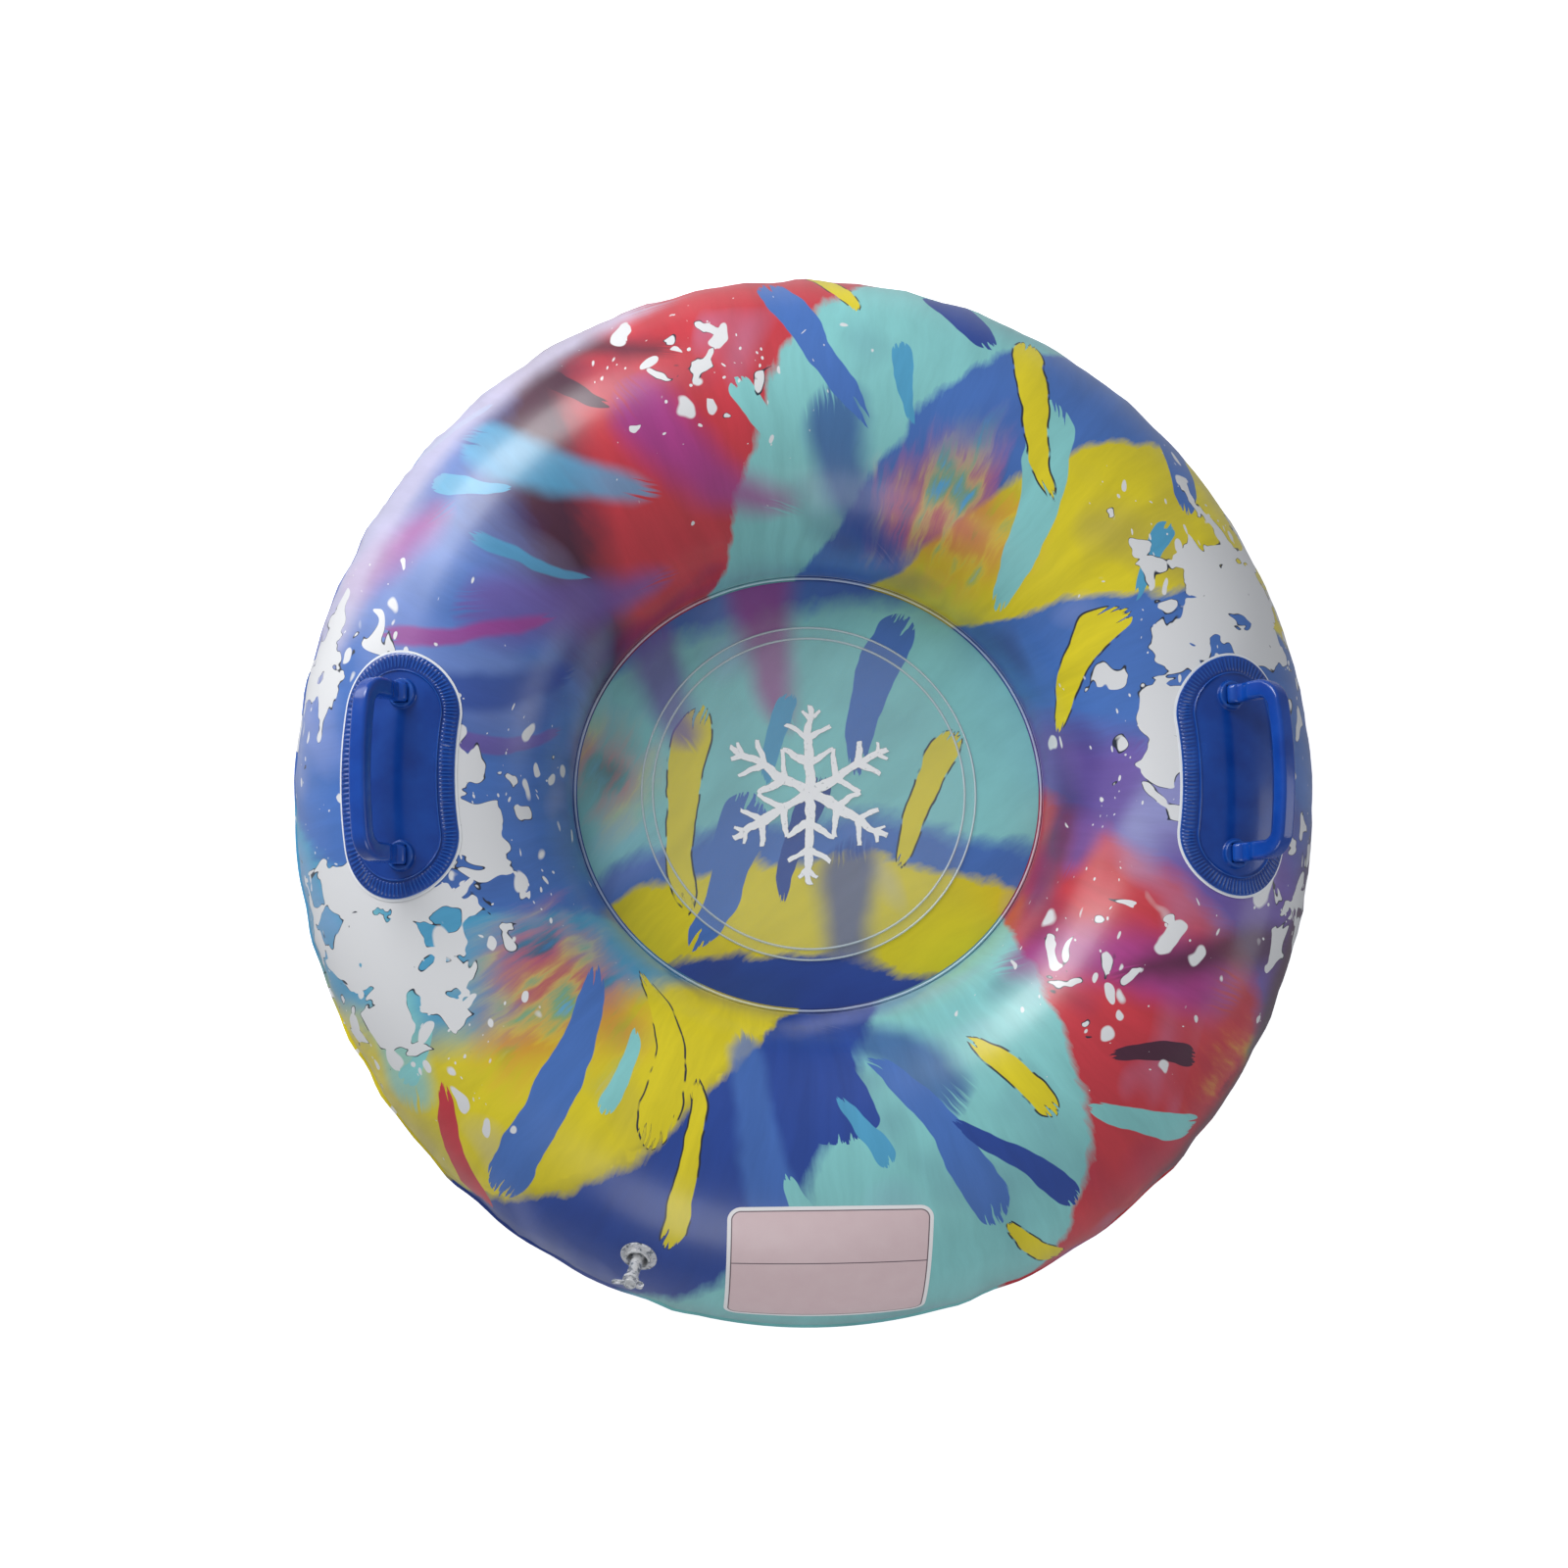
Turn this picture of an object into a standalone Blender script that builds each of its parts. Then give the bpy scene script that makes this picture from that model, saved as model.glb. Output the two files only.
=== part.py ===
"""A snow tube, inflated and lying flat: a welded ring with a floor, two moulded handles and a valve.

Metres, +Z up. The origin is on the ring's axis, on the ground. The handles are at +X and -X, and
the valve is on the upper outer side, towards -Y.
"""

import math

import bmesh
import bpy
from mathutils import Matrix, Vector

GAP = 0.0003  # between two pieces that touch

# Ring: two half skins, welded together at the outer and the inner seam
RING_RADIUS = 0.379  # from the ring's axis to the middle of the tube
TUBE_HALF_WIDTH = 0.146
TUBE_WIDTH_SWING = 0.008  # slimmer at the handles, fuller between them
TUBE_HALF_HEIGHT = 0.145
GROUND_PRESS = 0.0011  # how deep the ground presses the underside flat
SKIN_WALL = 0.0006
OUTER_WELD_MARGIN = 0.003
INNER_WELD_MARGIN = 0.005
RING_SEGMENTS = 56
DOME_SEGMENTS = 12

# Floor: a flat sheet held in the inner seam, with a clear disc welded on it
FLOOR_WALL = 0.0006
DISC_MARGIN = 0.053  # bare floor round the disc, where the hole is narrowest
DISC_RADIUS = RING_RADIUS - TUBE_HALF_WIDTH - TUBE_WIDTH_SWING - DISC_MARGIN
DISC_WALL = 0.0005
WELD_BAND_WIDTH = 0.0135
WELD_BAND_HEIGHT = 0.0010
WELD_RIDGE_WIDTH = 0.0020
WELD_RIDGE_HEIGHT = 0.0018
DISC_SEGMENTS = 48

# Handle patch and pad, welded over the crown of the ring
PAD_ANGLE = math.radians(13.0)  # the pad's middle line, outwards from the crown
PAD_LENGTH = 0.236
PAD_WIDTH = 0.114
PAD_WALL = 0.0014  # the weld border
PAD_BORDER_WIDTH = 0.016
PAD_EDGE_BEVEL = 0.0005
BEAD_WIDTH = 0.0020  # the raised line inside the border
BEAD_HEIGHT = 0.0032
DISH_WALL = 0.0022
PATCH_MARGIN = 0.0025  # how far the white patch shows past the pad
PATCH_WALL = 0.0005
ARC_STEPS = 12  # in each round end of a pad, a seat and the tab
PAD_STRAIGHT_STEPS = 4
PAD_RING_SHARES = (0.035, 0.25, 0.48)  # rings inside the dish, of the pad's half width
BORDER_MIDDLE_SHARE = 0.5

# Grip: a U-shaped bar whose arms end in round knuckles
GRIP_REACH = 0.068  # from the hinge line to the outer face of the bar
GRIP_HALF_SPAN = 0.078  # from the middle to an arm's centre line
GRIP_LEAN = math.radians(19.0)  # outwards from the pad's normal, at rest
GRIP_THICKNESS = 0.0175
ARM_WIDTH = 0.018
BAR_DEPTH = 0.0155
BEND_RADIUS = 0.020
BAR_BOW_ANGLE = math.radians(9.0)  # half the angle that the bowed bar turns through
KNUCKLE_RADIUS = 0.0075
NECK_THICKNESS = 0.008
NECK_LENGTH = 0.0055  # from the knuckle to where the arm starts to thicken
NECK_TAPER = 0.013
EDGE_RADIUS_SHARE = 0.27  # of the local thickness
KNUCKLE_ANGLES = (15.0, 40.0, 65.0, 90.0, 120.0)  # degrees from the knuckle's end
BEND_STEPS = 5
BAR_STEPS = 2

# Hinge seats: a low boss on the pad for each knuckle, with a round cradle
SEAT_LENGTH_MARGIN = 0.005
SEAT_WIDTH = 0.025
SEAT_BEVEL = 0.0012
SEAT_SHOULDER_DROP = 0.0035  # from the hinge line down to the cradle's shoulders
CRADLE_FLOOR = 0.0010
CRADLE_SIDE_GAP = 0.0004
CRADLE_SEGMENTS = 24

# Valve: flange with a collar and sleeve, a stem that pushes in, its flap, plug and strap
VALVE_AZIMUTH = math.radians(-111.2)
VALVE_ANGLE = math.radians(48.0)  # outwards from the crown
FLANGE_RADIUS = 0.018
FLANGE_WALL = 0.0012
COLLAR_RADIUS = 0.0125
COLLAR_HEIGHT = 0.0055
COLLAR_BEVEL = 0.0006
SLEEVE_BORE = 0.011
SLEEVE_WALL = 0.0012
SLEEVE_DEPTH = 0.034
LIP_RADIUS = 0.0102
LIP_HEIGHT = 0.0012
SKIN_HOLE_GAP = 0.0004
STEM_RADIUS = 0.006
STEM_BORE = 0.004
STEM_HEIGHT = 0.034
STEM_DEPTH = 0.008
STEM_FOOT_WALL = 0.0015
STEM_BEAD_RADIUS = 0.0066
STEM_BEAD_HEIGHT = 0.0020
FLAP_RADIUS = 0.0052
FLAP_WALL = 0.0010
FLAP_PIN_RADIUS = 0.0008
FLAP_PIN_LENGTH = 0.005
FLAP_PIN_SEGMENTS = 12
PLUG_TAPER = 0.0004
PLUG_DEPTH = 0.009
PLUG_HEAD_RADIUS = 0.0065
PLUG_HEAD_WALL = 0.0025
PLUG_EDGE = 0.0004
TAB_LENGTH = 0.011  # past the plug's head
TAB_WIDTH = 0.0055
TAB_WALL = 0.0016
TAB_LEAN = math.radians(20.0)
STRAP_RING_WALL = 0.0016
STRAP_RING_HEIGHT = 0.0026
STRAP_WIDTH = 0.004
STRAP_WALL = 0.0012
STRAP_BULGE = 0.006
STRAP_STEPS = 8
VALVE_SEGMENTS = 20

SHARP_ANGLE = math.radians(40.0)

MIDDLE_HEIGHT = TUBE_HALF_HEIGHT - GROUND_PRESS  # of the tube's section, and of both seams
PATCH_TOP = GAP + PATCH_WALL  # heights over the skin
PAD_BASE = PATCH_TOP + GAP
DISH_TOP = PAD_BASE + DISH_WALL
HINGE_HEIGHT = DISH_TOP + CRADLE_FLOOR + GAP + KNUCKLE_RADIUS
SEAT_TOP = HINGE_HEIGHT - SEAT_SHOULDER_DROP
FLAP_OFFSET = FLAP_RADIUS + FLAP_PIN_RADIUS / 2  # from the hinge pin to the flap's middle


def clear_scene():
    for obj in list(bpy.data.objects):
        bpy.data.objects.remove(obj, do_unlink=True)


def tube_half_width(azimuth):
    return TUBE_HALF_WIDTH - TUBE_WIDTH_SWING * math.cos(2 * azimuth)


def skin_normal(azimuth, section_angle):
    flat = Vector(
        (
            math.sin(section_angle) / tube_half_width(azimuth),
            math.cos(section_angle) / TUBE_HALF_HEIGHT,
        )
    ).normalized()
    return Vector((flat.x * math.cos(azimuth), flat.x * math.sin(azimuth), flat.y))


def skin_point(azimuth, section_angle, height=0.0):
    """A point at a height over the ring's skin. The section angle is 0 at the crown and grows outwards."""
    radius = RING_RADIUS + tube_half_width(azimuth) * math.sin(section_angle)
    z = MIDDLE_HEIGHT + TUBE_HALF_HEIGHT * math.cos(section_angle)
    foot = Vector((radius * math.cos(azimuth), radius * math.sin(azimuth), z))
    return foot + height * skin_normal(azimuth, section_angle)


def over_skin(x, y, height):
    """The same, for the place on the upper skin that lies at x and y."""
    azimuth = math.atan2(y, x)
    share = (math.hypot(x, y) - RING_RADIUS) / tube_half_width(azimuth)
    return skin_point(azimuth, math.asin(share), height)


def circle(radius, z, segments):
    turns = [2 * math.pi * step / segments for step in range(segments)]
    return [Vector((radius * math.cos(turn), radius * math.sin(turn), z)) for turn in turns]


def stadium(half_length, half_width, straight_steps=1):
    """Points round a stadium from its far end, as pairs of (along, across)."""
    straight = half_length - half_width
    quarter = ARC_STEPS // 2
    turns = [math.pi / 2 * step / quarter for step in range(quarter + 1)]
    arc = [(straight + half_width * math.cos(turn), half_width * math.sin(turn)) for turn in turns]
    spacing = 2 * straight / straight_steps
    side = [(straight - spacing * step, half_width) for step in range(1, straight_steps)]
    half = arc + side + [(-along, across) for along, across in reversed(arc)]
    return half + [(along, -across) for along, across in reversed(half[1:-1])]


def rounded_rectangle(half_x, half_y, radius):
    points = []
    for corner in range(4):
        turn = corner * math.pi / 2
        x_side = 1 if corner in (0, 3) else -1
        y_side = 1 if corner in (0, 1) else -1
        for step in range(3):
            angle = turn + step * math.pi / 4
            x = x_side * (half_x - radius) + radius * math.cos(angle)
            points.append((x, y_side * (half_y - radius) + radius * math.sin(angle)))
    return points


def fill_across(bm, ring):
    """Fills a ring that mirrors about a line through its first point, with faces from side to side."""
    count = len(ring)
    half = count // 2
    bm.faces.new((ring[0], ring[1], ring[-1]))
    for step in range(1, half - 1):
        bm.faces.new((ring[step], ring[step + 1], ring[count - step - 1], ring[count - step]))
    bm.faces.new((ring[half - 1], ring[half], ring[half + 1]))


def loft(name, rings, around=False, curved_ends=False):
    """A closed mesh through rings of points: round on itself, or with both ends filled."""
    bm = bmesh.new()
    loops = [[bm.verts.new(point) for point in ring] for ring in rings]
    following = loops[1:] + loops[:1] if around else loops[1:]
    for one, other in zip(loops, following):
        for step, vert in enumerate(one):
            after = (step + 1) % len(one)
            bm.faces.new((vert, one[after], other[after], other[step]))
    if not around:
        for ring in (loops[0], loops[-1]):
            if curved_ends:
                fill_across(bm, ring)
            else:
                bm.faces.new(ring)
    bmesh.ops.recalc_face_normals(bm, faces=bm.faces)
    mesh = bpy.data.meshes.new(name)
    bm.to_mesh(mesh)
    bm.free()
    return mesh


def turned(name, profile, segments, bored=False):
    """A mesh turned about +Z from pairs of (radius, height)."""
    return loft(name, [circle(radius, z, segments) for radius, z in profile], around=bored)


def material(name, colour, roughness, alpha=1.0):
    made = bpy.data.materials.new(name)
    made.use_nodes = True
    shader = made.node_tree.nodes["Principled BSDF"]
    shader.inputs["Base Color"].default_value = (*colour, 1.0)
    shader.inputs["Roughness"].default_value = roughness
    shader.inputs["Metallic"].default_value = 0.0
    shader.inputs["Alpha"].default_value = alpha
    return made


def add_object(name, mesh, surface, parent=None, location=(0, 0, 0), rotation=(0, 0, 0)):
    obj = bpy.data.objects.new(name, mesh)
    bpy.context.scene.collection.objects.link(obj)
    if surface:
        mesh.shade_smooth()
        mesh.set_sharp_from_angle(angle=SHARP_ANGLE)
        mesh.materials.clear()
        mesh.materials.append(surface)
    obj.parent = parent
    obj.location = location
    obj.rotation_euler = rotation
    return obj


def add_empty(name, matrix):
    empty = bpy.data.objects.new(name, None)
    bpy.context.scene.collection.objects.link(empty)
    empty.matrix_world = matrix
    return empty


def combine(target, tool, operation):
    """Joins a helper to an object, or cuts it out. The helper itself isn't part of the model."""
    modifier = target.modifiers.new(tool.name, "BOOLEAN")
    modifier.operation = operation
    modifier.solver = "EXACT"
    modifier.object = tool
    tool.hide_render = True
    tool.display_type = "WIRE"


def skin_section(azimuth, section_angles, outer_seam, inner_seam):
    """One half skin's closed section, as (radius, height over the seams), outer face then inner face."""
    half_width = tube_half_width(azimuth)
    outer = RING_RADIUS + half_width
    inner = RING_RADIUS - half_width
    section = []
    for depth in (0.0, SKIN_WALL):
        lift = SKIN_WALL - depth
        face = [(outer + OUTER_WELD_MARGIN, outer_seam + lift), (outer - depth, outer_seam + lift)]
        for angle in section_angles:
            across = (half_width - depth) * math.sin(angle)
            face.append((RING_RADIUS + across, (TUBE_HALF_HEIGHT - depth) * math.cos(angle)))
        face.append((inner + depth, inner_seam + lift))
        face.append((inner - INNER_WELD_MARGIN, inner_seam + lift))
        section += face if depth == 0.0 else face[::-1]
    return section


def ring_skin(name, side):
    """The upper half skin, for side 1, or the lower one, for side -1, whose underside is pressed flat."""
    quarter = DOME_SEGMENTS // 2
    angles = [math.pi / 2 * step / quarter for step in range(quarter - 1, -quarter, -1)]
    if side < 0:
        flat_angle = math.acos(MIDDLE_HEIGHT / TUBE_HALF_HEIGHT)
        angles[quarter - 1 : quarter] = [flat_angle, -flat_angle]
    rings = []
    for step in range(RING_SEGMENTS):
        azimuth = 2 * math.pi * step / RING_SEGMENTS
        section = skin_section(azimuth, angles, GAP / 2, FLOOR_WALL / 2 + GAP)
        rings.append(
            [
                Vector((radius * math.cos(azimuth), radius * math.sin(azimuth), MIDDLE_HEIGHT + side * height))
                for radius, height in section
            ]
        )
    return loft(name, rings, around=True)


def make_ring():
    printed = material("printed_pvc", (0.05, 0.14, 0.47), 0.35)
    underside = material("plain_blue_pvc", (0.02, 0.06, 0.30), 0.40)
    top = add_object("ring_top_skin", ring_skin("ring_top_skin", 1), printed)
    add_object("ring_bottom_skin", ring_skin("ring_bottom_skin", -1), underside)
    return top


def make_floor():
    printed = material("floor_pvc", (0.22, 0.55, 0.60), 0.35)
    clear = material("clear_disc_pvc", (0.80, 0.90, 0.95), 0.20, 0.35)
    rings = []
    for side in (-1, 1):
        z = MIDDLE_HEIGHT + side * FLOOR_WALL / 2
        ring = []
        for step in range(RING_SEGMENTS):
            azimuth = 2 * math.pi * step / RING_SEGMENTS
            radius = RING_RADIUS - tube_half_width(azimuth)
            ring.append(Vector((radius * math.cos(azimuth), radius * math.sin(azimuth), z)))
        rings.append(ring)
    add_object("seat_floor", loft("seat_floor", rings), printed)
    inside = DISC_RADIUS - WELD_BAND_WIDTH
    profile = [
        (DISC_RADIUS, 0.0),
        (DISC_RADIUS, WELD_BAND_HEIGHT),
        (DISC_RADIUS - WELD_RIDGE_WIDTH / 2, WELD_RIDGE_HEIGHT),
        (DISC_RADIUS - WELD_RIDGE_WIDTH, WELD_BAND_HEIGHT),
        (inside + WELD_RIDGE_WIDTH, WELD_BAND_HEIGHT),
        (inside + WELD_RIDGE_WIDTH / 2, WELD_RIDGE_HEIGHT),
        (inside, DISC_WALL),
    ]
    disc = turned("centre_disc", profile, DISC_SEGMENTS)
    add_object("centre_disc", disc, clear, location=(0, 0, MIDDLE_HEIGHT + FLOOR_WALL / 2 + GAP))


def pad_line_radius():
    return RING_RADIUS + tube_half_width(0.0) * math.sin(PAD_ANGLE)


def pad_ring(half_width, height):
    """A ring of points at one height over the skin, draped along the ring at the +X side."""
    straight = (PAD_LENGTH - PAD_WIDTH) / 2
    points = []
    for along, across in stadium(straight + half_width, half_width, PAD_STRAIGHT_STEPS):
        section_angle = PAD_ANGLE + across / tube_half_width(0.0)
        points.append(skin_point(along / pad_line_radius(), section_angle, height))
    return points


def pad_half_widths():
    """The half widths that the patch and the pad share, so that the two bend alike."""
    border = PAD_WIDTH / 2 - PAD_BORDER_WIDTH
    border_middle = PAD_WIDTH / 2 - BORDER_MIDDLE_SHARE * PAD_BORDER_WIDTH
    inside = [share * PAD_WIDTH / 2 for share in PAD_RING_SHARES]
    return inside + [border, border_middle, PAD_WIDTH / 2]


def patch_mesh():
    widths = pad_half_widths() + [PAD_WIDTH / 2 + PATCH_MARGIN]
    lower = [pad_ring(width, GAP) for width in widths]
    upper = [pad_ring(width, PATCH_TOP) for width in reversed(widths)]
    return loft("handle_patch", lower + upper, curved_ends=True)


def pad_mesh():
    widths = pad_half_widths()
    lower = [pad_ring(width, PAD_BASE) for width in widths]
    border = PAD_WIDTH / 2 - PAD_BORDER_WIDTH
    steps = [
        (PAD_WIDTH / 2, PAD_WALL - PAD_EDGE_BEVEL),
        (PAD_WIDTH / 2 - PAD_EDGE_BEVEL, PAD_WALL),
        (border, PAD_WALL),
        (border - BEAD_WIDTH / 2, BEAD_HEIGHT),
        (border - BEAD_WIDTH, DISH_WALL),
    ]
    steps += [(share * PAD_WIDTH / 2, DISH_WALL) for share in reversed(PAD_RING_SHARES)]
    upper = [pad_ring(width, PAD_BASE + wall) for width, wall in steps]
    return loft("handle_pad", lower + upper, curved_ends=True)


def knuckle_centre(side):
    """The middle of a knuckle, over the pad's middle line. The hinge line joins the two, along Y."""
    y = side * GRIP_HALF_SPAN
    x = math.sqrt(pad_line_radius() ** 2 - y**2)
    lifted = over_skin(x, y, HINGE_HEIGHT)
    return Vector((lifted.x, y, lifted.z))


def seat_mesh(side):
    """A low round-ended boss under one knuckle. Its foot is sunk into the pad's dish."""
    centre = knuckle_centre(side)
    x = math.sqrt(pad_line_radius() ** 2 - GRIP_HALF_SPAN**2)
    half_length = ARM_WIDTH / 2 + SEAT_LENGTH_MARGIN
    steps = [
        (0.0, PAD_BASE + DISH_WALL / 2),
        (0.0, SEAT_TOP - SEAT_BEVEL),
        (SEAT_BEVEL, SEAT_TOP),
    ]
    rings = []
    for inset, height in steps:
        outline = stadium(half_length - inset, SEAT_WIDTH / 2 - inset)
        rings.append([over_skin(x + across, centre.y + along, height) for along, across in outline])
    return loft("seat", rings, curved_ends=True)


def cradle_mesh():
    length = ARM_WIDTH + 2 * CRADLE_SIDE_GAP
    cutter = turned(
        "cradle",
        [(KNUCKLE_RADIUS + GAP, -length / 2), (KNUCKLE_RADIUS + GAP, length / 2)],
        CRADLE_SEGMENTS,
    )
    cutter.transform(Matrix.Rotation(math.pi / 2, 4, "X"))
    return cutter


def grip_stations():
    """Stations up the +Y arm to the middle of the bar: y, reach, turn, half thickness, half width."""
    arm = ARM_WIDTH / 2
    neck = NECK_THICKNESS / 2
    stations = []
    neck_start = math.degrees(math.pi - math.asin(neck / KNUCKLE_RADIUS))
    for degrees in (*KNUCKLE_ANGLES, neck_start):
        angle = math.radians(degrees)
        reach = -KNUCKLE_RADIUS * math.cos(angle)
        stations.append((GRIP_HALF_SPAN, reach, 0.0, KNUCKLE_RADIUS * math.sin(angle), arm))
    thick_start = reach + NECK_LENGTH
    stations.append((GRIP_HALF_SPAN, thick_start, 0.0, neck, arm))
    stations.append((GRIP_HALF_SPAN, thick_start + NECK_TAPER, 0.0, GRIP_THICKNESS / 2, arm))
    bend = math.pi / 2 - BAR_BOW_ANGLE
    bar_end = GRIP_HALF_SPAN - BEND_RADIUS * (1 - math.cos(bend))
    bow_radius = bar_end / math.sin(BAR_BOW_ANGLE)
    bar_middle = GRIP_REACH - BAR_DEPTH / 2
    bend_start = bar_middle - bow_radius * (1 - math.cos(BAR_BOW_ANGLE)) - BEND_RADIUS * math.sin(bend)
    for step in range(BEND_STEPS + 1):
        share = step / BEND_STEPS
        turn = share * bend
        y = GRIP_HALF_SPAN - BEND_RADIUS * (1 - math.cos(turn))
        half_width = arm + share * (BAR_DEPTH / 2 - arm)
        reach = bend_start + BEND_RADIUS * math.sin(turn)
        stations.append((y, reach, turn, GRIP_THICKNESS / 2, half_width))
    for step in range(1, BAR_STEPS + 1):
        bow = BAR_BOW_ANGLE * (1 - step / BAR_STEPS)
        reach = bar_middle - bow_radius * (1 - math.cos(bow))
        y = bow_radius * math.sin(bow)
        stations.append((y, reach, math.pi / 2 - bow, GRIP_THICKNESS / 2, BAR_DEPTH / 2))
    return stations


def grip_mesh():
    """The grip stands along +Z from its hinge line, which is its origin's Y axis."""
    half = []
    for y, reach, turn, half_thickness, half_width in grip_stations():
        outline = rounded_rectangle(half_thickness, half_width, 2 * EDGE_RADIUS_SHARE * half_thickness)
        half.append(
            [Vector((x, y + out * math.cos(turn), reach + out * math.sin(turn))) for x, out in outline]
        )
    mirrored = [[Vector((p.x, -p.y, p.z)) for p in ring] for ring in reversed(half[:-1])]
    return loft("handle_grip", half + mirrored)


def make_handles():
    white = material("white_patch_pvc", (0.86, 0.88, 0.90), 0.45)
    blue = material("royal_blue_pvc", (0.005, 0.045, 0.35), 0.30)
    grip_blue = material("royal_blue_grip_pvc", (0.006, 0.055, 0.42), 0.25)
    patch = patch_mesh()
    pad = pad_mesh()
    grip = grip_mesh()
    seats = {side: seat_mesh(side) for side in (1, -1)}
    cradle = cradle_mesh()
    pad_tilt = math.atan2(skin_normal(0.0, PAD_ANGLE).x, skin_normal(0.0, PAD_ANGLE).z)
    for hand, turn in (("right", 0.0), ("left", math.pi)):
        frame = add_empty(hand + "_handle", Matrix.Rotation(turn, 4, "Z"))
        add_object(hand + "_handle_patch", patch, white, frame)
        pad_object = add_object(hand + "_handle_pad", pad, blue, frame)
        for side, seat in seats.items():
            boss = add_object(f"{hand}_seat_{side}", seat, None, frame)
            combine(pad_object, boss, "UNION")
        for side in seats:
            cutter = add_object(f"{hand}_cradle_{side}", cradle, None, frame, knuckle_centre(side))
            combine(pad_object, cutter, "DIFFERENCE")
        hinge = knuckle_centre(1)
        add_object(
            hand + "_handle_grip",
            grip,
            grip_blue,
            frame,
            (hinge.x, 0, hinge.z),
            (0, pad_tilt + GRIP_LEAN, 0),
        )


def valve_frame():
    """Its Z axis is the skin's normal, its Y axis runs outwards down the skin."""
    normal = skin_normal(VALVE_AZIMUTH, VALVE_ANGLE)
    along = Vector((math.sin(VALVE_AZIMUTH), -math.cos(VALVE_AZIMUTH), 0))
    matrix = Matrix((along, normal.cross(along), normal)).transposed().to_4x4()
    matrix.translation = skin_point(VALVE_AZIMUTH, VALVE_ANGLE)
    return matrix


def flange_mesh():
    """The flange follows the skin's two curves. Its collar ends flat, and its sleeve hangs inside."""
    outside = SLEEVE_BORE + SLEEVE_WALL
    top = GAP + FLANGE_WALL
    profile = [
        (outside, GAP),
        (FLANGE_RADIUS, GAP),
        (FLANGE_RADIUS, top - COLLAR_BEVEL),
        (FLANGE_RADIUS - COLLAR_BEVEL, top),
        (COLLAR_RADIUS + COLLAR_BEVEL, top),
        (COLLAR_RADIUS, top + COLLAR_BEVEL),
        (COLLAR_RADIUS, COLLAR_HEIGHT - COLLAR_BEVEL),
        (COLLAR_RADIUS - COLLAR_BEVEL, COLLAR_HEIGHT),
        (LIP_RADIUS, COLLAR_HEIGHT),
        (LIP_RADIUS, COLLAR_HEIGHT - LIP_HEIGHT),
        (SLEEVE_BORE, COLLAR_HEIGHT - 2 * LIP_HEIGHT),
        (SLEEVE_BORE, -SLEEVE_DEPTH),
        (outside, -SLEEVE_DEPTH),
    ]
    mesh = turned("valve_flange", profile, VALVE_SEGMENTS, bored=True)
    valve_radius = RING_RADIUS + tube_half_width(VALVE_AZIMUTH) * math.sin(VALVE_ANGLE)
    round_ring = valve_radius / math.sin(VALVE_ANGLE)
    for vert in mesh.vertices:
        drop = vert.co.x**2 / (2 * round_ring) + vert.co.y**2 / (2 * TUBE_HALF_WIDTH)
        share = max(0.0, 1 - abs(vert.co.z) / COLLAR_HEIGHT)
        vert.co.z -= share * drop
    return mesh


def stem_mesh():
    foot = SLEEVE_BORE - GAP
    profile = [
        (STEM_BORE, -STEM_DEPTH),
        (foot, -STEM_DEPTH),
        (foot, STEM_FOOT_WALL - STEM_DEPTH),
        (STEM_RADIUS, STEM_FOOT_WALL - STEM_DEPTH),
        (STEM_RADIUS, STEM_HEIGHT - STEM_BEAD_HEIGHT),
        (STEM_BEAD_RADIUS, STEM_HEIGHT - STEM_BEAD_HEIGHT / 2),
        (STEM_BEAD_RADIUS, STEM_HEIGHT),
        (STEM_BORE, STEM_HEIGHT),
    ]
    return turned("valve_stem", profile, VALVE_SEGMENTS, bored=True)


def flap_meshes():
    """The flap's disc reaches from its hinge pin, on the origin's X axis, across the stem's bore."""
    half_wall = FLAP_WALL / 2
    disc = turned("valve_flap", [(FLAP_RADIUS, -half_wall), (FLAP_RADIUS, half_wall)], VALVE_SEGMENTS)
    disc.transform(Matrix.Translation((0, FLAP_OFFSET, 0)))
    half_length = FLAP_PIN_LENGTH / 2
    profile = [(FLAP_PIN_RADIUS, -half_length), (FLAP_PIN_RADIUS, half_length)]
    pin = turned("flap_pin", profile, FLAP_PIN_SEGMENTS)
    pin.transform(Matrix.Rotation(math.pi / 2, 4, "Y"))
    return disc, pin


def plug_meshes():
    """The plug stands in the stem's bore, its origin on the axis. A pull tab grows from its head."""
    shank = STEM_BORE - GAP
    seat = STEM_HEIGHT + GAP
    top = seat + PLUG_HEAD_WALL
    profile = [
        (shank - PLUG_TAPER, seat - PLUG_DEPTH),
        (shank, seat),
        (PLUG_HEAD_RADIUS, seat),
        (PLUG_HEAD_RADIUS, top - PLUG_EDGE),
        (PLUG_HEAD_RADIUS - PLUG_EDGE, top),
    ]
    plug = turned("valve_plug", profile, VALVE_SEGMENTS)
    root = PLUG_HEAD_RADIUS / 2
    length = PLUG_HEAD_RADIUS + TAB_LENGTH - root
    half_wall = TAB_WALL / 2
    rings = []
    for height in (-half_wall, half_wall):
        outline = stadium(length / 2, TAB_WIDTH / 2)
        rings.append([Vector((root + length / 2 + along, across, height)) for along, across in outline])
    tab = loft("plug_tab", rings)
    swing = Matrix.Translation((root, 0, seat + PLUG_HEAD_WALL / 2)) @ Matrix.Rotation(-TAB_LEAN, 4, "Y")
    tab.transform(swing @ Matrix.Translation((-root, 0, 0)))
    return plug, tab


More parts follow.
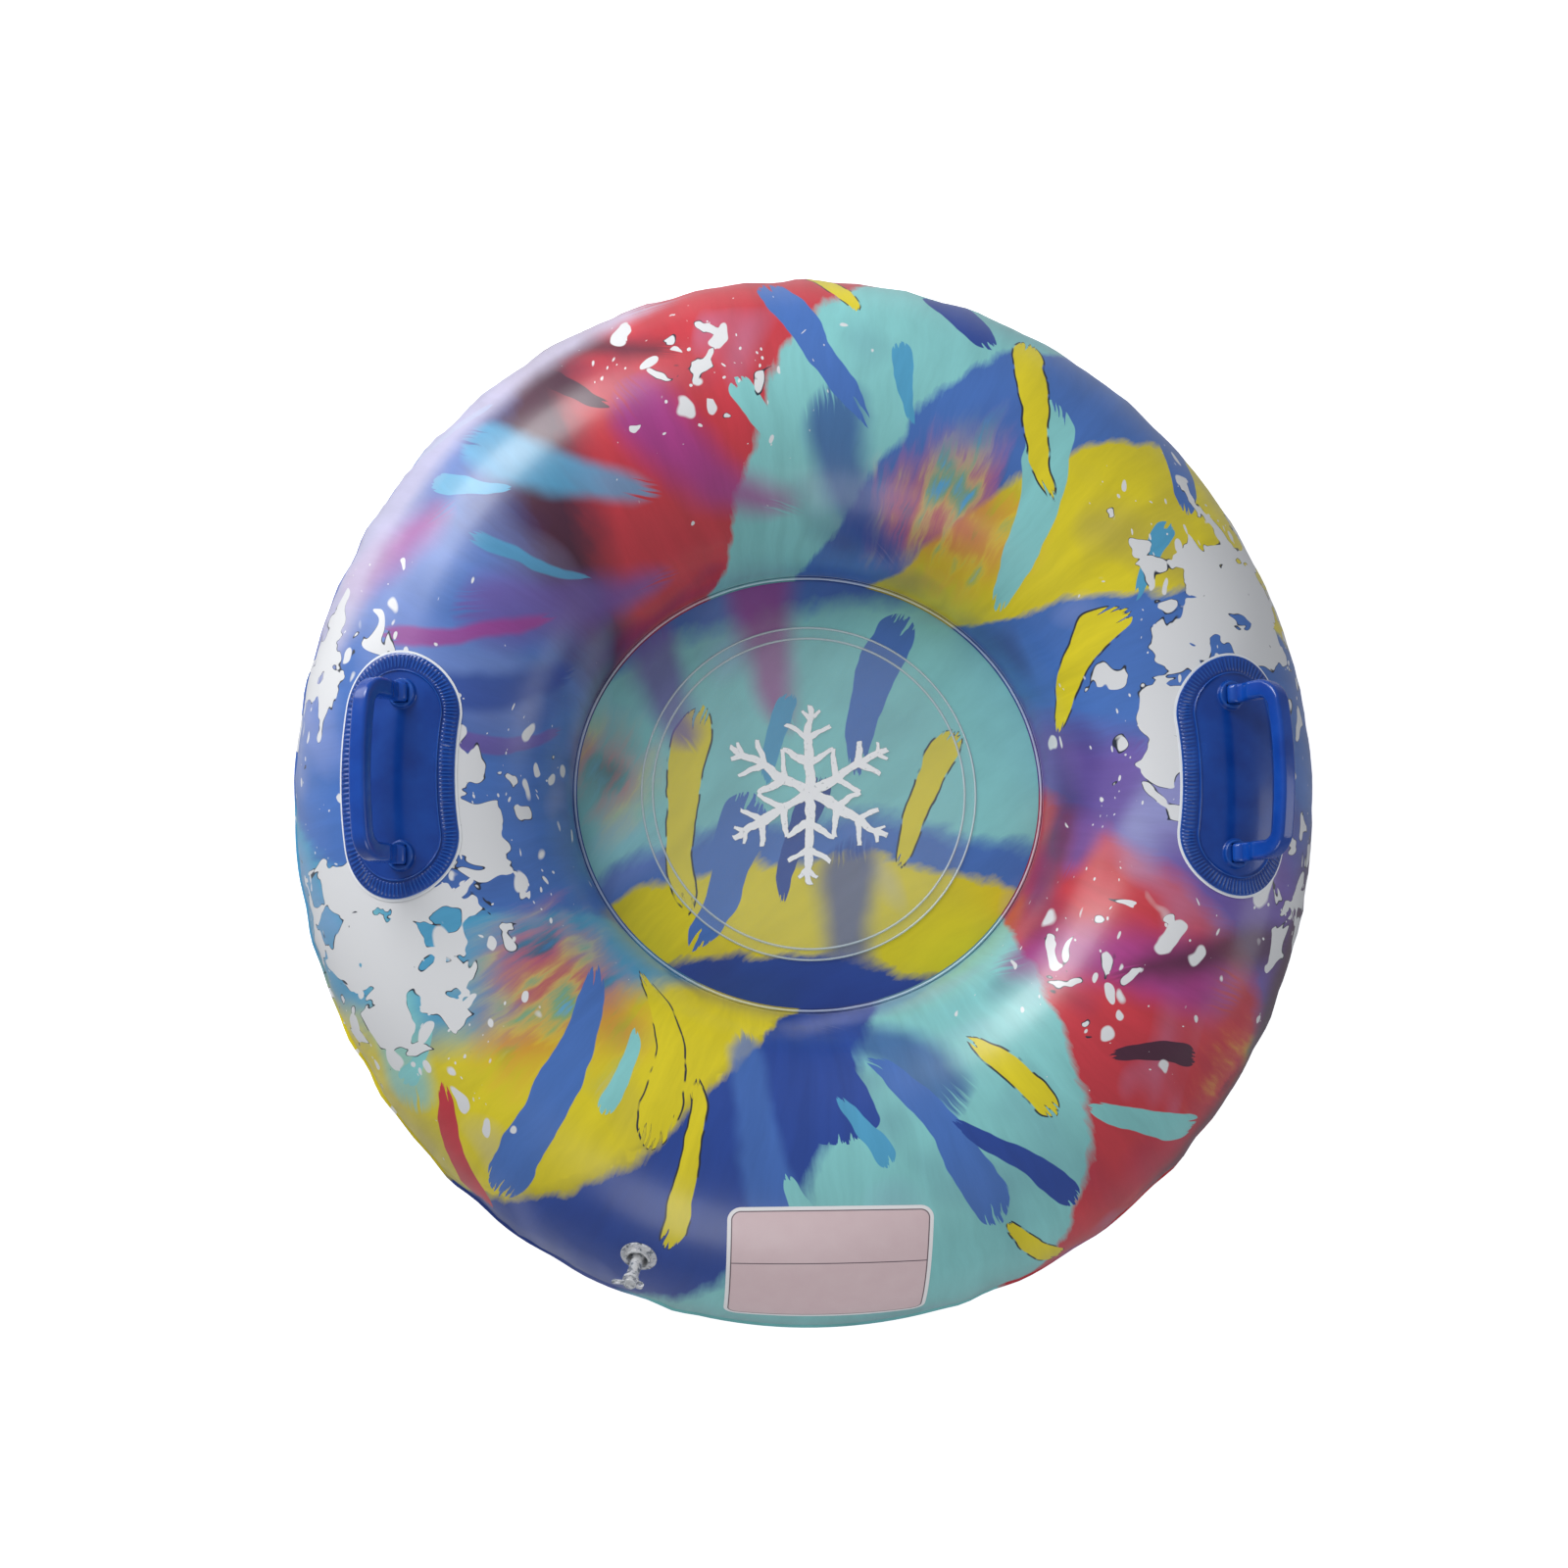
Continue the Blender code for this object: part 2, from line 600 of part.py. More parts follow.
def strap_meshes():
    """A ring round the stem, under its bead, and a strap that loops up to the plug's head."""
    inner = STEM_RADIUS + GAP
    outer = inner + STRAP_RING_WALL
    top = STEM_HEIGHT - STEM_BEAD_HEIGHT - GAP
    bottom = top - STRAP_RING_HEIGHT
    profile = [(inner, bottom), (outer, bottom), (outer, top), (inner, top)]
    ring = turned("valve_strap", profile, VALVE_SEGMENTS, bored=True)
    start = Vector((-inner - STRAP_RING_WALL / 2, 0, bottom + STRAP_RING_HEIGHT / 2))
    end = Vector((-PLUG_HEAD_RADIUS - GAP, 0, STEM_HEIGHT + GAP + PLUG_HEAD_WALL / 2))
    rise = (end.z - start.z) / 2
    sections = []
    for step in range(STRAP_STEPS + 1):
        turn = math.pi * step / STRAP_STEPS
        middle = start.lerp(end, (1 - math.cos(turn)) / 2) - Vector((STRAP_BULGE * math.sin(turn), 0, 0))
        out = Vector((-rise * math.sin(turn), 0, -STRAP_BULGE * math.cos(turn))).normalized()
        sections.append(
            [
                middle + side * STRAP_WALL / 2 * out + Vector((0, across * STRAP_WIDTH / 2, 0))
                for side, across in ((1, 1), (1, -1), (-1, -1), (-1, 1))
            ]
        )
    return ring, loft("strap_loop", sections)


def make_valve(top_skin):
    clear = material("clear_valve_pvc", (0.85, 0.88, 0.90), 0.15, 0.5)
    frame = add_empty("valve_frame", valve_frame())
    hole_radius = SLEEVE_BORE + SLEEVE_WALL + SKIN_HOLE_GAP
    hole = turned(
        "skin_hole", [(hole_radius, -FLANGE_RADIUS), (hole_radius, FLANGE_RADIUS)], VALVE_SEGMENTS
    )
    combine(top_skin, add_object("skin_hole", hole, None, frame), "DIFFERENCE")
    add_object("valve_flange", flange_mesh(), clear, frame)
    add_object("valve_stem", stem_mesh(), clear, frame)
    disc, pin = flap_meshes()
    flap_place = (0, -FLAP_OFFSET, -STEM_DEPTH - GAP - FLAP_PIN_RADIUS)
    flap = add_object("valve_flap", disc, clear, frame, flap_place)
    combine(flap, add_object("flap_pin", pin, None, flap), "UNION")
    plug_mesh, tab_mesh = plug_meshes()
    plug = add_object("valve_plug", plug_mesh, clear, frame)
    combine(plug, add_object("plug_tab", tab_mesh, None, frame), "UNION")
    ring_mesh, loop_mesh = strap_meshes()
    strap = add_object("valve_strap", ring_mesh, clear, frame)
    combine(strap, add_object("strap_loop", loop_mesh, None, frame), "UNION")


clear_scene()
ring_top = make_ring()
make_floor()
make_handles()
make_valve(ring_top)
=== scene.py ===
"""The snow tube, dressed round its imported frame: printed film, floor, handles, valve and label.

Metres, in the frame's own axes. The picture is taken from above, with +Y up in it.
"""

import math

import bmesh
import bpy
import numpy as np
from mathutils import Matrix, Vector


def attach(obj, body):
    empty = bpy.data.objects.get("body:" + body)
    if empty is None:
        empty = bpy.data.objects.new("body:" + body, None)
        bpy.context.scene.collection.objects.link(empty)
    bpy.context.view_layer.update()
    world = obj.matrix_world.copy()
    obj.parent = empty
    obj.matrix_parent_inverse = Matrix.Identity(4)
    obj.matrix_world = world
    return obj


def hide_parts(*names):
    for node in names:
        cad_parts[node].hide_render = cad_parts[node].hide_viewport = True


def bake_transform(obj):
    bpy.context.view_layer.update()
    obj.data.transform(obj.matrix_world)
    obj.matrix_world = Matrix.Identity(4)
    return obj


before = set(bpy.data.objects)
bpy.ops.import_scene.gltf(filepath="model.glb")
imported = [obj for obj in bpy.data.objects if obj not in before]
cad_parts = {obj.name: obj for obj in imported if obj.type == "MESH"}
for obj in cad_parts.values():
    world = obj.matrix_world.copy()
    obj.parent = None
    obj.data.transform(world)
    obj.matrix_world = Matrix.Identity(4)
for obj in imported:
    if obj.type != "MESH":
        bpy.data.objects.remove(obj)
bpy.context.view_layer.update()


# Upper skin of the ring: one flat ring of printed PVC film that turns into half a tube when the ring
# is filled with air. It is welded to the lower skin along the outer edge, where the spare film stands
# in small puckers, and to the floor along the rim of the hole.
RING_RADIUS = 0.379
TUBE_HALF_WIDTH = 0.146
WIDTH_SWING = 0.008  # slimmer at the handles, fuller between them
TUBE_HALF_HEIGHT = 0.145
MIDDLE_HEIGHT = 0.1439
FILM_WALL = 0.0006
RING_STEPS = 576
SECTION_STEPS = 112
FLAT_MARGIN = ((1.0, 0.0),)
BEADED_MARGIN = (  # share of the weld margin's width, rise over the step before
    (0.22, 0.0), (0.32, 0.0007), (0.42, 0.0004), (0.54, 0.0),
    (0.64, -0.0004), (0.74, -0.0007), (1.0, 0.0),
)
SEAMS = (  # side of the ring's middle, weld margin, lift of its upper face over the middle, its steps
    (1, 0.003, 0.00075, FLAT_MARGIN),
    (-1, 0.005, 0.0012, BEADED_MARGIN),
)
SEAM_RIPPLE = 0.0011
LABEL_AZIMUTH = -89.6  # the film is smooth where the label sticks
LABEL_HALF_TURN = 12
VALVE_AZIMUTH = math.radians(-111.2)
VALVE_ANGLE = math.radians(48.0)
SKIN_HOLE_RADIUS = 0.0126
PUCKER_REACH = 0.016  # height over the seam at which the puckers are deepest
INNER_PUCKER_REACH = 0.010
INNER_PUCKERS = 0.35  # their depth as a share of the outer ones'
NO_PUCKERS = 99.0  # so many reaches away they have died out
UNEVEN_FROM = 0.05  # height over the seam from which the film is at its most uneven
SMOOTH_SPOTS = (  # what is welded or stuck on keeps the film smooth: azimuth, angle, reach
    (0.0, 0.227, 0.2),
    (math.pi, 0.227, 0.2),
    (VALVE_AZIMUTH, VALVE_ANGLE, 0.05),
    (math.radians(LABEL_AZIMUTH), math.radians(38), 0.17),
)


def srgb(code):
    """A colour written as RRGGBB, as Blender's linear values."""
    shares = [int(code[step : step + 2], 16) / 255 for step in (0, 2, 4)]
    linear = [share / 12.92 if share <= 0.04045 else ((share + 0.055) / 1.055) ** 2.4 for share in shares]
    return (*linear, 1.0)


def add_node(tree, kind, sockets=(), operation=None, **settings):
    """Adds a node, sets its options, fills its inputs with values or links, and gives its output."""
    made = tree.nodes.new("ShaderNode" + kind)
    if operation:
        made.operation = operation
    for option, value in settings.items():
        setattr(made, option, value)
    for key, value in sockets.items() if isinstance(sockets, dict) else enumerate(sockets):
        if isinstance(value, bpy.types.NodeSocket):
            tree.links.new(value, made.inputs[key])
        else:
            made.inputs[key].default_value = value
    return next((socket for socket in made.outputs if socket.enabled), None)


def pick(obj, kind, test):
    """In edit mode, selects only the vertices, edges or faces that pass a test on their middle."""
    bpy.ops.mesh.select_mode(type=kind)
    bpy.ops.mesh.select_all(action="DESELECT")
    work = bmesh.from_edit_mesh(obj.data)
    for item in {"VERT": work.verts, "EDGE": work.edges, "FACE": work.faces}[kind]:
        corners = [item] if kind == "VERT" else item.verts
        middle = sum((corner.co for corner in corners), Vector()) / len(corners)
        if test(middle, item):
            item.select_set(True)
    work.select_flush_mode()
    bmesh.update_edit_mesh(obj.data)


def select_only(obj):
    bpy.ops.object.select_all(action="DESELECT")
    obj.select_set(True)
    bpy.context.view_layer.objects.active = obj


def select_all():
    bpy.ops.mesh.select_all(action="SELECT")


def edit(obj):
    """Opens an object in edit mode, with its place in its mesh and all of it selected."""
    select_only(obj)
    bpy.ops.object.transform_apply(location=True, rotation=True, scale=True)
    bpy.ops.object.mode_set(mode="EDIT")
    bpy.ops.mesh.select_mode(type="VERT")
    select_all()
    return obj


def new_shape(add_primitive, **settings):
    """Adds a primitive with nothing else selected, and opens it in edit mode."""
    bpy.ops.object.select_all(action="DESELECT")
    add_primitive(**settings)
    return edit(bpy.context.object)


def shift(x, y, z):
    bpy.ops.transform.translate(value=(x, y, z))


def resize(x, y, z, middle=(0, 0, 0)):
    bpy.ops.transform.resize(value=(x, y, z), center_override=middle)


def leave():
    bpy.ops.object.mode_set(mode="OBJECT")


def face_outwards_and_leave():
    select_all()
    bpy.ops.mesh.normals_make_consistent(inside=False)
    leave()


def apply_modifier(obj, kind, **settings):
    modifier = obj.modifiers.new(kind.lower(), kind)
    for option, value in settings.items():
        setattr(modifier, option, value)
    select_only(obj)
    bpy.ops.object.modifier_apply(modifier=modifier.name)


def places(obj):
    """The object's vertices as rows of x, y and z."""
    flat = np.empty(3 * len(obj.data.vertices))
    obj.data.vertices.foreach_get("co", flat)
    return flat.reshape(-1, 3)


def polar(points):
    """The azimuth of each place and its distance from the ring's axis."""
    return np.arctan2(points[:, 1], points[:, 0]), np.hypot(points[:, 0], points[:, 1])


def move_to(obj, points):
    obj.data.vertices.foreach_set("co", np.array([tuple(point) for point in points]).ravel())
    obj.data.update()


def weigh(obj, name, weights):
    """A vertex group, for a modifier that works on part of the piece."""
    group = obj.vertex_groups.new(name=name)
    for index, weight in enumerate(weights):
        if weight > 0.01:
            group.add([index], float(min(weight, 1.0)), "REPLACE")
    return group.name


def finish_piece(obj, name, surface, body=None, smooth=40.0):
    """Names, smooths and paints a finished piece and puts it on its body, if it has only one."""
    obj.name = name
    obj.data.name = name
    select_only(obj)
    bpy.ops.object.transform_apply(location=True, rotation=True, scale=True)
    bpy.ops.object.shade_smooth_by_angle(angle=math.radians(smooth))
    obj.data.materials.clear()
    obj.data.materials.append(surface)
    if body:
        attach(obj, body)
    return obj


def tube_half_width(azimuth):
    return TUBE_HALF_WIDTH - WIDTH_SWING * np.cos(2 * azimuth)


def skin_normal(azimuth, angle):
    flat = Vector((math.sin(angle) / tube_half_width(azimuth), math.cos(angle) / TUBE_HALF_HEIGHT))
    flat.normalize()
    return Vector((flat.x * math.cos(azimuth), flat.x * math.sin(azimuth), flat.y))


def skin_point(azimuth, angle, height=0.0):
    """A point over the upper skin. The angle is 0 at the crown and grows outwards."""
    radius = RING_RADIUS + tube_half_width(azimuth) * math.sin(angle)
    z = MIDDLE_HEIGHT + TUBE_HALF_HEIGHT * math.cos(angle)
    foot = Vector((radius * math.cos(azimuth), radius * math.sin(azimuth), z))
    return foot + skin_normal(azimuth, angle) * height


def near(points, spot, reach):
    """1 at a spot and 0 from a reach away."""
    away = np.linalg.norm(points - np.array(spot), axis=1)
    return np.clip(1 - away / reach, 0, 1)


def off_label(azimuth):
    """0 where the label sticks and 1 elsewhere, with 4 degrees between them."""
    return np.clip((np.abs(np.degrees(azimuth) - LABEL_AZIMUTH) - LABEL_HALF_TURN) / 4, 0, 1)


def half_ring(side):
    """Half of the tube, cut from a torus at the seams, with a flat weld margin along both seams."""
    seam_plane = (0, 0, MIDDLE_HEIGHT)
    half = new_shape(
        bpy.ops.mesh.primitive_torus_add,
        location=seam_plane,
        major_segments=RING_STEPS,
        minor_segments=SECTION_STEPS,
        major_radius=RING_RADIUS,
        minor_radius=TUBE_HALF_WIDTH,
        generate_uvs=False,
    )
    bpy.ops.mesh.bisect(plane_co=seam_plane, plane_no=(0, 0, side), clear_inner=True)
    select_all()
    resize(1, 1, TUBE_HALF_HEIGHT / TUBE_HALF_WIDTH, seam_plane)
    for way, margin, lift, margin_steps in SEAMS:
        pick(half, "EDGE", lambda spot, edge: edge.is_boundary and way * (spot.xy.length - RING_RADIUS) > 0)
        shift(0, 0, side * lift)
        seam_radius = RING_RADIUS + way * TUBE_HALF_WIDTH
        gone = 0.0
        for share, rise in margin_steps:
            bpy.ops.mesh.extrude_region()
            reach = (seam_radius + way * share * margin) / (seam_radius + way * gone * margin)
            resize(reach, reach, 1, seam_plane)
            shift(0, 0, side * rise)
            gone = share
    leave()
    points = places(half)
    azimuth, radius = polar(points)
    across = (radius - RING_RADIUS) * (tube_half_width(azimuth) / TUBE_HALF_WIDTH)
    # The spare film along the outer edge ripples, but not where the label sticks
    outmost = np.clip(across / TUBE_HALF_WIDTH, 0, 1) ** 12 * off_label(azimuth)
    waves = np.sin(37 * azimuth) + np.sin(58 * azimuth + 1) * np.sin(3 * azimuth)
    radius = RING_RADIUS + (across + SEAM_RIPPLE * outmost * waves)
    points[:, 0] = radius * np.cos(azimuth)
    points[:, 1] = radius * np.sin(azimuth)
    move_to(half, points)
    return half


def add_map(obj, name, flat):
    """A UV map that gives each vertex its place on the flat sheet, in metres."""
    corners = np.empty(len(obj.data.loops), int)
    obj.data.loops.foreach_get("vertex_index", corners)
    obj.data.uv_layers.new(name=name).data.foreach_set("uv", flat[corners].ravel())


def lay_out_sheet(obj):
    """Maps the film as it lies flat before it is welded, so that its print follows it."""
    points = places(obj)
    azimuth, radius = polar(points)
    across = radius - RING_RADIUS
    width = tube_half_width(azimuth)
    height = np.abs(points[:, 2] - MIDDLE_HEIGHT) / TUBE_HALF_HEIGHT
    angle = np.arctan2(across / width, height)
    margin = np.sign(across) * np.maximum(np.abs(across) - width, 0)
    radius = RING_RADIUS + width * angle + margin
    add_map(obj, "print_sheet", np.stack([radius * np.cos(azimuth), radius * np.sin(azimuth)], 1))


def ruffle(obj, name, weights, grain, depth, strength, direction="NORMAL"):
    """Moves the piece's surface by a cloud noise, where the weights let it."""
    clouds = bpy.data.textures.new(name, "CLOUDS")
    clouds.noise_scale = grain
    clouds.noise_depth = depth
    group = weigh(obj, name, weights)
    settings = dict(texture=clouds, texture_coords="LOCAL", direction=direction, mid_level=0.5)
    apply_modifier(obj, "DISPLACE", strength=strength, vertex_group=group, **settings)


def pucker(obj):
    """Small puckers along both seams, and a slight unevenness of the film away from what is welded on."""
    points = places(obj)
    azimuth, radius = polar(points)
    height = np.abs(points[:, 2] - MIDDLE_HEIGHT)
    outer = np.where(radius > RING_RADIUS, height / PUCKER_REACH, NO_PUCKERS)
    inner = np.where(radius < RING_RADIUS, height / INNER_PUCKER_REACH, NO_PUCKERS)
    seam_weights = off_label(azimuth) * outer * np.exp(1 - outer)
    seam_weights += INNER_PUCKERS * inner * np.exp(1 - inner)
    kept = [near(points, skin_point(turn, angle), reach) for turn, angle, reach in SMOOTH_SPOTS]
    free = np.clip(1 - 2 * np.maximum.reduce(kept), 0, 1)
    flat_weights = np.clip(height / UNEVEN_FROM, 0, 1) * free
    ruffle(obj, "seam_puckers", seam_weights, grain=0.017, depth=1, strength=0.0042)
    ruffle(obj, "film_unevenness", flat_weights, grain=0.11, depth=0, strength=0.0012)


SWIRL = 0.22  # share of a turn that the sectors lean over in a metre
CRISP = 0.001  # edges of the yellow that are less soft than this have an ink line
SKY = srgb("4672BC")
DEEP = srgb("25479A")
AQUA = srgb("86CBCB")
TEAL = srgb("4FA0C8")
YELLOW = srgb("E0CF1E")
RED = srgb("C83844")
ORANGE = srgb("CC6A3C")
OCHRE = srgb("D3A83A")
GREEN = srgb("7FA46A")
MAGENTA = srgb("A03C90")
VIOLET = srgb("6E58A6")
MAROON = srgb("4A2038")
LILAC_PRINT_AND_SHEEN = srgb("CBC5DD")
WHITE = srgb("DEDFE1")
INK = srgb("232A3A")
SECTORS = (  # share of the turn from the left handle on, colour, softness of the edge after it
    (0.050, SKY, 0.003),
    (0.050, TEAL, 0.020),
    (0.080, YELLOW, 0.0007),
    (0.065, DEEP, 0.002),
    (0.115, AQUA, 0.0007),
    (0.085, RED, 0.012),
    (0.045, VIOLET, 0.030),
    (0.090, SKY, 0.0007),
    (0.070, YELLOW, 0.0007),
    (0.055, SKY, 0.002),
    (0.065, AQUA, 0.0007),
    (0.075, RED, 0.020),
    (0.035, MAROON, 0.030),
    (0.120, SKY, 0.030),
)
STROKES = (  # azimuth, radius, slant to the radial, half length, half width, bow, softness, colour
    (-152, 0.470, 70, 0.120, 0.030, 1.5, 0.0300, AQUA),
    (-130, 0.400, 14, 0.140, 0.022, 0.8, 0.0010, SKY),
    (-135, 0.530, 48, 0.080, 0.016, -2.0, 0.0010, RED),
    (-119, 0.300, 25, 0.095, 0.018, 2.0, 0.0010, YELLOW),
    (-109, 0.400, 6, 0.085, 0.011, 1.2, 0.0010, YELLOW),
    (-101, 0.350, 22, 0.120, 0.024, -1.0, 0.0150, SKY),
    (-88, 0.300, 12, 0.055, 0.030, 0.0, 0.0010, DEEP),
    (-74, 0.270, 30, 0.090, 0.030, 1.0, 0.0300, DEEP),
    (-72, 0.360, 18, 0.110, 0.020, 0.8, 0.0010, SKY),
    (-63, 0.420, 30, 0.080, 0.013, 1.2, 0.0010, DEEP),
    (-47, 0.470, 34, 0.075, 0.016, -1.2, 0.0010, AQUA),
    (-31, 0.340, 20, 0.130, 0.032, 0.8, 0.0400, MAGENTA),
    (-24, 0.420, 30, 0.100, 0.020, 1.0, 0.0300, MAROON),
    (-18, 0.550, 80, 0.150, 0.052, 1.0, 0.0500, MAROON),
    (-5, 0.270, 60, 0.080, 0.026, 1.0, 0.0300, VIOLET),
    (24, 0.270, 30, 0.075, 0.016, 2.0, 0.0010, YELLOW),
    (40, 0.500, 40, 0.060, 0.022, 1.0, 0.0010, SKY),
    (51, 0.340, 22, 0.120, 0.022, -1.2, 0.0010, AQUA),
    (60, 0.430, 30, 0.100, 0.014, 1.4, 0.0010, YELLOW),
    (72, 0.520, 40, 0.060, 0.028, 0.5, 0.0010, DEEP),
    (84, 0.290, 22, 0.100, 0.028, 1.0, 0.0300, DEEP),
    (91, 0.440, 26, 0.110, 0.018, 0.8, 0.0010, SKY),
    (99, 0.360, 30, 0.050, 0.012, 1.0, 0.0010, AQUA),
    (111, 0.330, 30, 0.110, 0.030, 1.5, 0.0400, MAGENTA),
    (118, 0.520, 40, 0.110, 0.020, 1.0, 0.0300, MAROON),
    (131, 0.400, 30, 0.110, 0.026, 1.0, 0.0200, TEAL),
    (136, 0.540, 60, 0.060, 0.012, 1.0, 0.0010, TEAL),
    (146, 0.290, 40, 0.110, 0.032, 1.0, 0.0400, VIOLET),
    (152, 0.490, 55, 0.080, 0.030, 1.0, 0.0450, MAGENTA),
    (-145, 0.480, 20, 0.040, 0.010, 3.0, 0.0008, AQUA),
    (-124, 0.345, 12, 0.045, 0.009, 3.0, 0.0008, AQUA),
    (-93, 0.430, 16, 0.050, 0.014, 2.0, 0.0008, AQUA),
    (-84, 0.340, 28, 0.045, 0.010, 2.0, 0.0008, TEAL),
    (-66, 0.520, 24, 0.055, 0.012, -2.0, 0.0008, YELLOW),
    (-57, 0.340, 10, 0.060, 0.013, 2.0, 0.0008, YELLOW),
    (-40, 0.420, 40, 0.045, 0.012, 2.0, 0.0008, MAROON),
    (33, 0.390, 26, 0.045, 0.010, 2.0, 0.0008, TEAL),
    (56, 0.500, 30, 0.060, 0.016, 1.0, 0.0008, SKY),
    (78, 0.400, 20, 0.045, 0.010, 2.0, 0.0008, TEAL),
    (87, 0.530, 24, 0.055, 0.012, -2.0, 0.0008, YELLOW),
    (122, 0.460, 26, 0.050, 0.010, 2.0, 0.0008, MAROON),
    (140, 0.450, 30, 0.045, 0.009, 2.0, 0.0008, TEAL),
    (165, 0.330, 20, 0.100, 0.018, 1.0, 0.0150, DEEP),
    (173, 0.300, 10, 0.080, 0.010, 1.0, 0.0040, VIOLET),
    (158, 0.370, 25, 0.090, 0.010, 1.0, 0.0080, MAGENTA),
    (143, 0.350, 14, 0.070, 0.008, 1.0, 0.0030, TEAL),
    # A wide pale lilac band along the outer edge at the upper left: partly print, partly a painted sheen
    # where the upper-left lamps light the ring most
    (138, 0.549, 90, 0.300, 0.060, -0.89, 0.0450, LILAC_PRINT_AND_SHEEN),
    # A wide dark maroon band along the outer edge at the lower right, across from the pale lilac one
    (-33, 0.570, 90, 0.190, 0.044, -0.87, 0.0500, MAROON),
)
FEATHERING = (  # azimuth, radius on the sheet, size: mixed warm colours, streaked by the brush
    (64, 0.290, 0.085), (-141, 0.330, 0.090), (-35, 0.520, 0.050),
)
BLOT_RAGGEDNESS = 0.34  # metres that a blot's edge moves between the noise's 0 and 1
BLOT_LEVEL = 0.172  # half of that, so that the blots keep about their size
DROPS_LEFT_OUT = 0.4  # share of the cells that have no drop
DROPS = (  # cells in a metre, biggest size in cells, colour, depth in the field from where to where
    (15.0, 0.36, WHITE, -0.150, -0.045),
    (30.0, 0.46, WHITE, -0.190, -0.040),
    (54.0, 0.42, WHITE, -0.190, -0.020),
    (130.0, 0.30, WHITE, -0.170, -0.020),
    (110.0, 0.20, INK, 0.000, 0.060),
)
WHITE_BLOTS = (  # azimuth, radius on the sheet, size
    (23, 0.470, 0.082), (8, 0.375, 0.058), (-14, 0.550, 0.045), (-160, 0.465, 0.088),
    (-174, 0.365, 0.058), (167, 0.535, 0.046), (-33, 0.330, 0.016), (107, 0.430, 0.014),
)


def on_sheet(azimuth, radius):
    turn = math.radians(azimuth)
    return (radius * math.cos(turn), radius * math.sin(turn), 0.0)


def noise_share(tree, place, scale, detail, low, high, least=0.0, most=1.0, **more):
    """A noise read through a range: from least to most, between two of the noise's values."""
    noise = add_node(tree, "TexNoise", {"Vector": place, "Scale": scale, "Detail": detail, **more})
    return add_node(tree, "MapRange", (noise, low, high, least, most))


def spot_field(tree, place, spots):
    """How deep a place on the sheet lies inside the nearest of some round spots."""
    field = -1.0
    for azimuth, radius, size in spots:
        away = add_node(tree, "VectorMath", (place, on_sheet(azimuth, radius)), "DISTANCE")
        away = add_node(tree, "Math", (size, away), "SUBTRACT")
        field = add_node(tree, "Math", (away, field), "MAXIMUM")
    return field


def local_place(tree, place, middle, degrees):
    """X, Y and Z of a place as seen from a middle, along axes that are turned by an angle."""
    seen = {"Vector": place, "Location": middle, "Rotation": (0, 0, math.radians(degrees))}
    seen = add_node(tree, "Mapping", seen, vector_type="TEXTURE")
    return add_node(tree, "SeparateXYZ", (seen,)).node.outputs


def lay_paint(tree, paint, colour, depth, low, high, broken=1.0):
    """Lays a colour over the paint where a depth is over low, in full from high on."""
    share = add_node(tree, "MapRange", (depth, low, high))
    share = add_node(tree, "Math", (share, broken), "MULTIPLY")
    return add_node(tree, "Mix", {0: share, 6: paint, 7: colour}, data_type="RGBA")


def splash_blots(tree, paint, sheet, wander, wandered, broken, blots):
    """White paint thrown over the print: ragged blots, drops round them, and dark specks on them."""
    # White blots with a thin dark line here and there along the edge
    field = spot_field(tree, wandered, blots)
    ragged = {"Vector": sheet, "Scale": 25.0, "Detail": 2.0, "Roughness": 0.45, "Distortion": 0.7}
    ragged = add_node(tree, "TexNoise", ragged)
    blot = add_node(tree, "Math", (ragged, BLOT_RAGGEDNESS, field), "MULTIPLY_ADD")
    blot = add_node(tree, "Math", (blot, -BLOT_LEVEL), "ADD")
    paint = lay_paint(tree, paint, INK, blot, -0.0040, -0.0024, broken)
    paint = lay_paint(tree, paint, WHITE, blot, 0.0, 0.0020)

    # Drops thrown round the blots, from 20 mm down to 2 mm and longer than wide, and specks on the white
    for density, biggest, colour, low, high in DROPS:
        drops = add_node(tree, "VectorMath", (wander, (0.10, 0.10, 0.0), sheet), "MULTIPLY_ADD")
        squeeze = (density, 0.66 * density, 1.0)
        drops = add_node(tree, "Mapping", {"Vector": drops, "Rotation": (0, 0, 0.6), "Scale": squeeze})
        drops = add_node(tree, "TexVoronoi", {"Vector": drops, "Scale": 1.0, "Randomness": 0.9})
        chance = add_node(tree, "SeparateColor", (drops.node.outputs["Color"],)).node.outputs
        crowd = add_node(tree, "MapRange", {0: field, 1: low, 2: high, 4: biggest})
        size = add_node(tree, "Math", (chance["Red"], crowd), "MULTIPLY")
        kept = add_node(tree, "Math", (chance["Green"], DROPS_LEFT_OUT), "GREATER_THAN")
        size = add_node(tree, "Math", (size, kept), "MULTIPLY")
        drop = add_node(tree, "Math", (size, drops), "SUBTRACT")
        paint = lay_paint(tree, paint, colour, drop, 0.0, 0.03)
    return paint


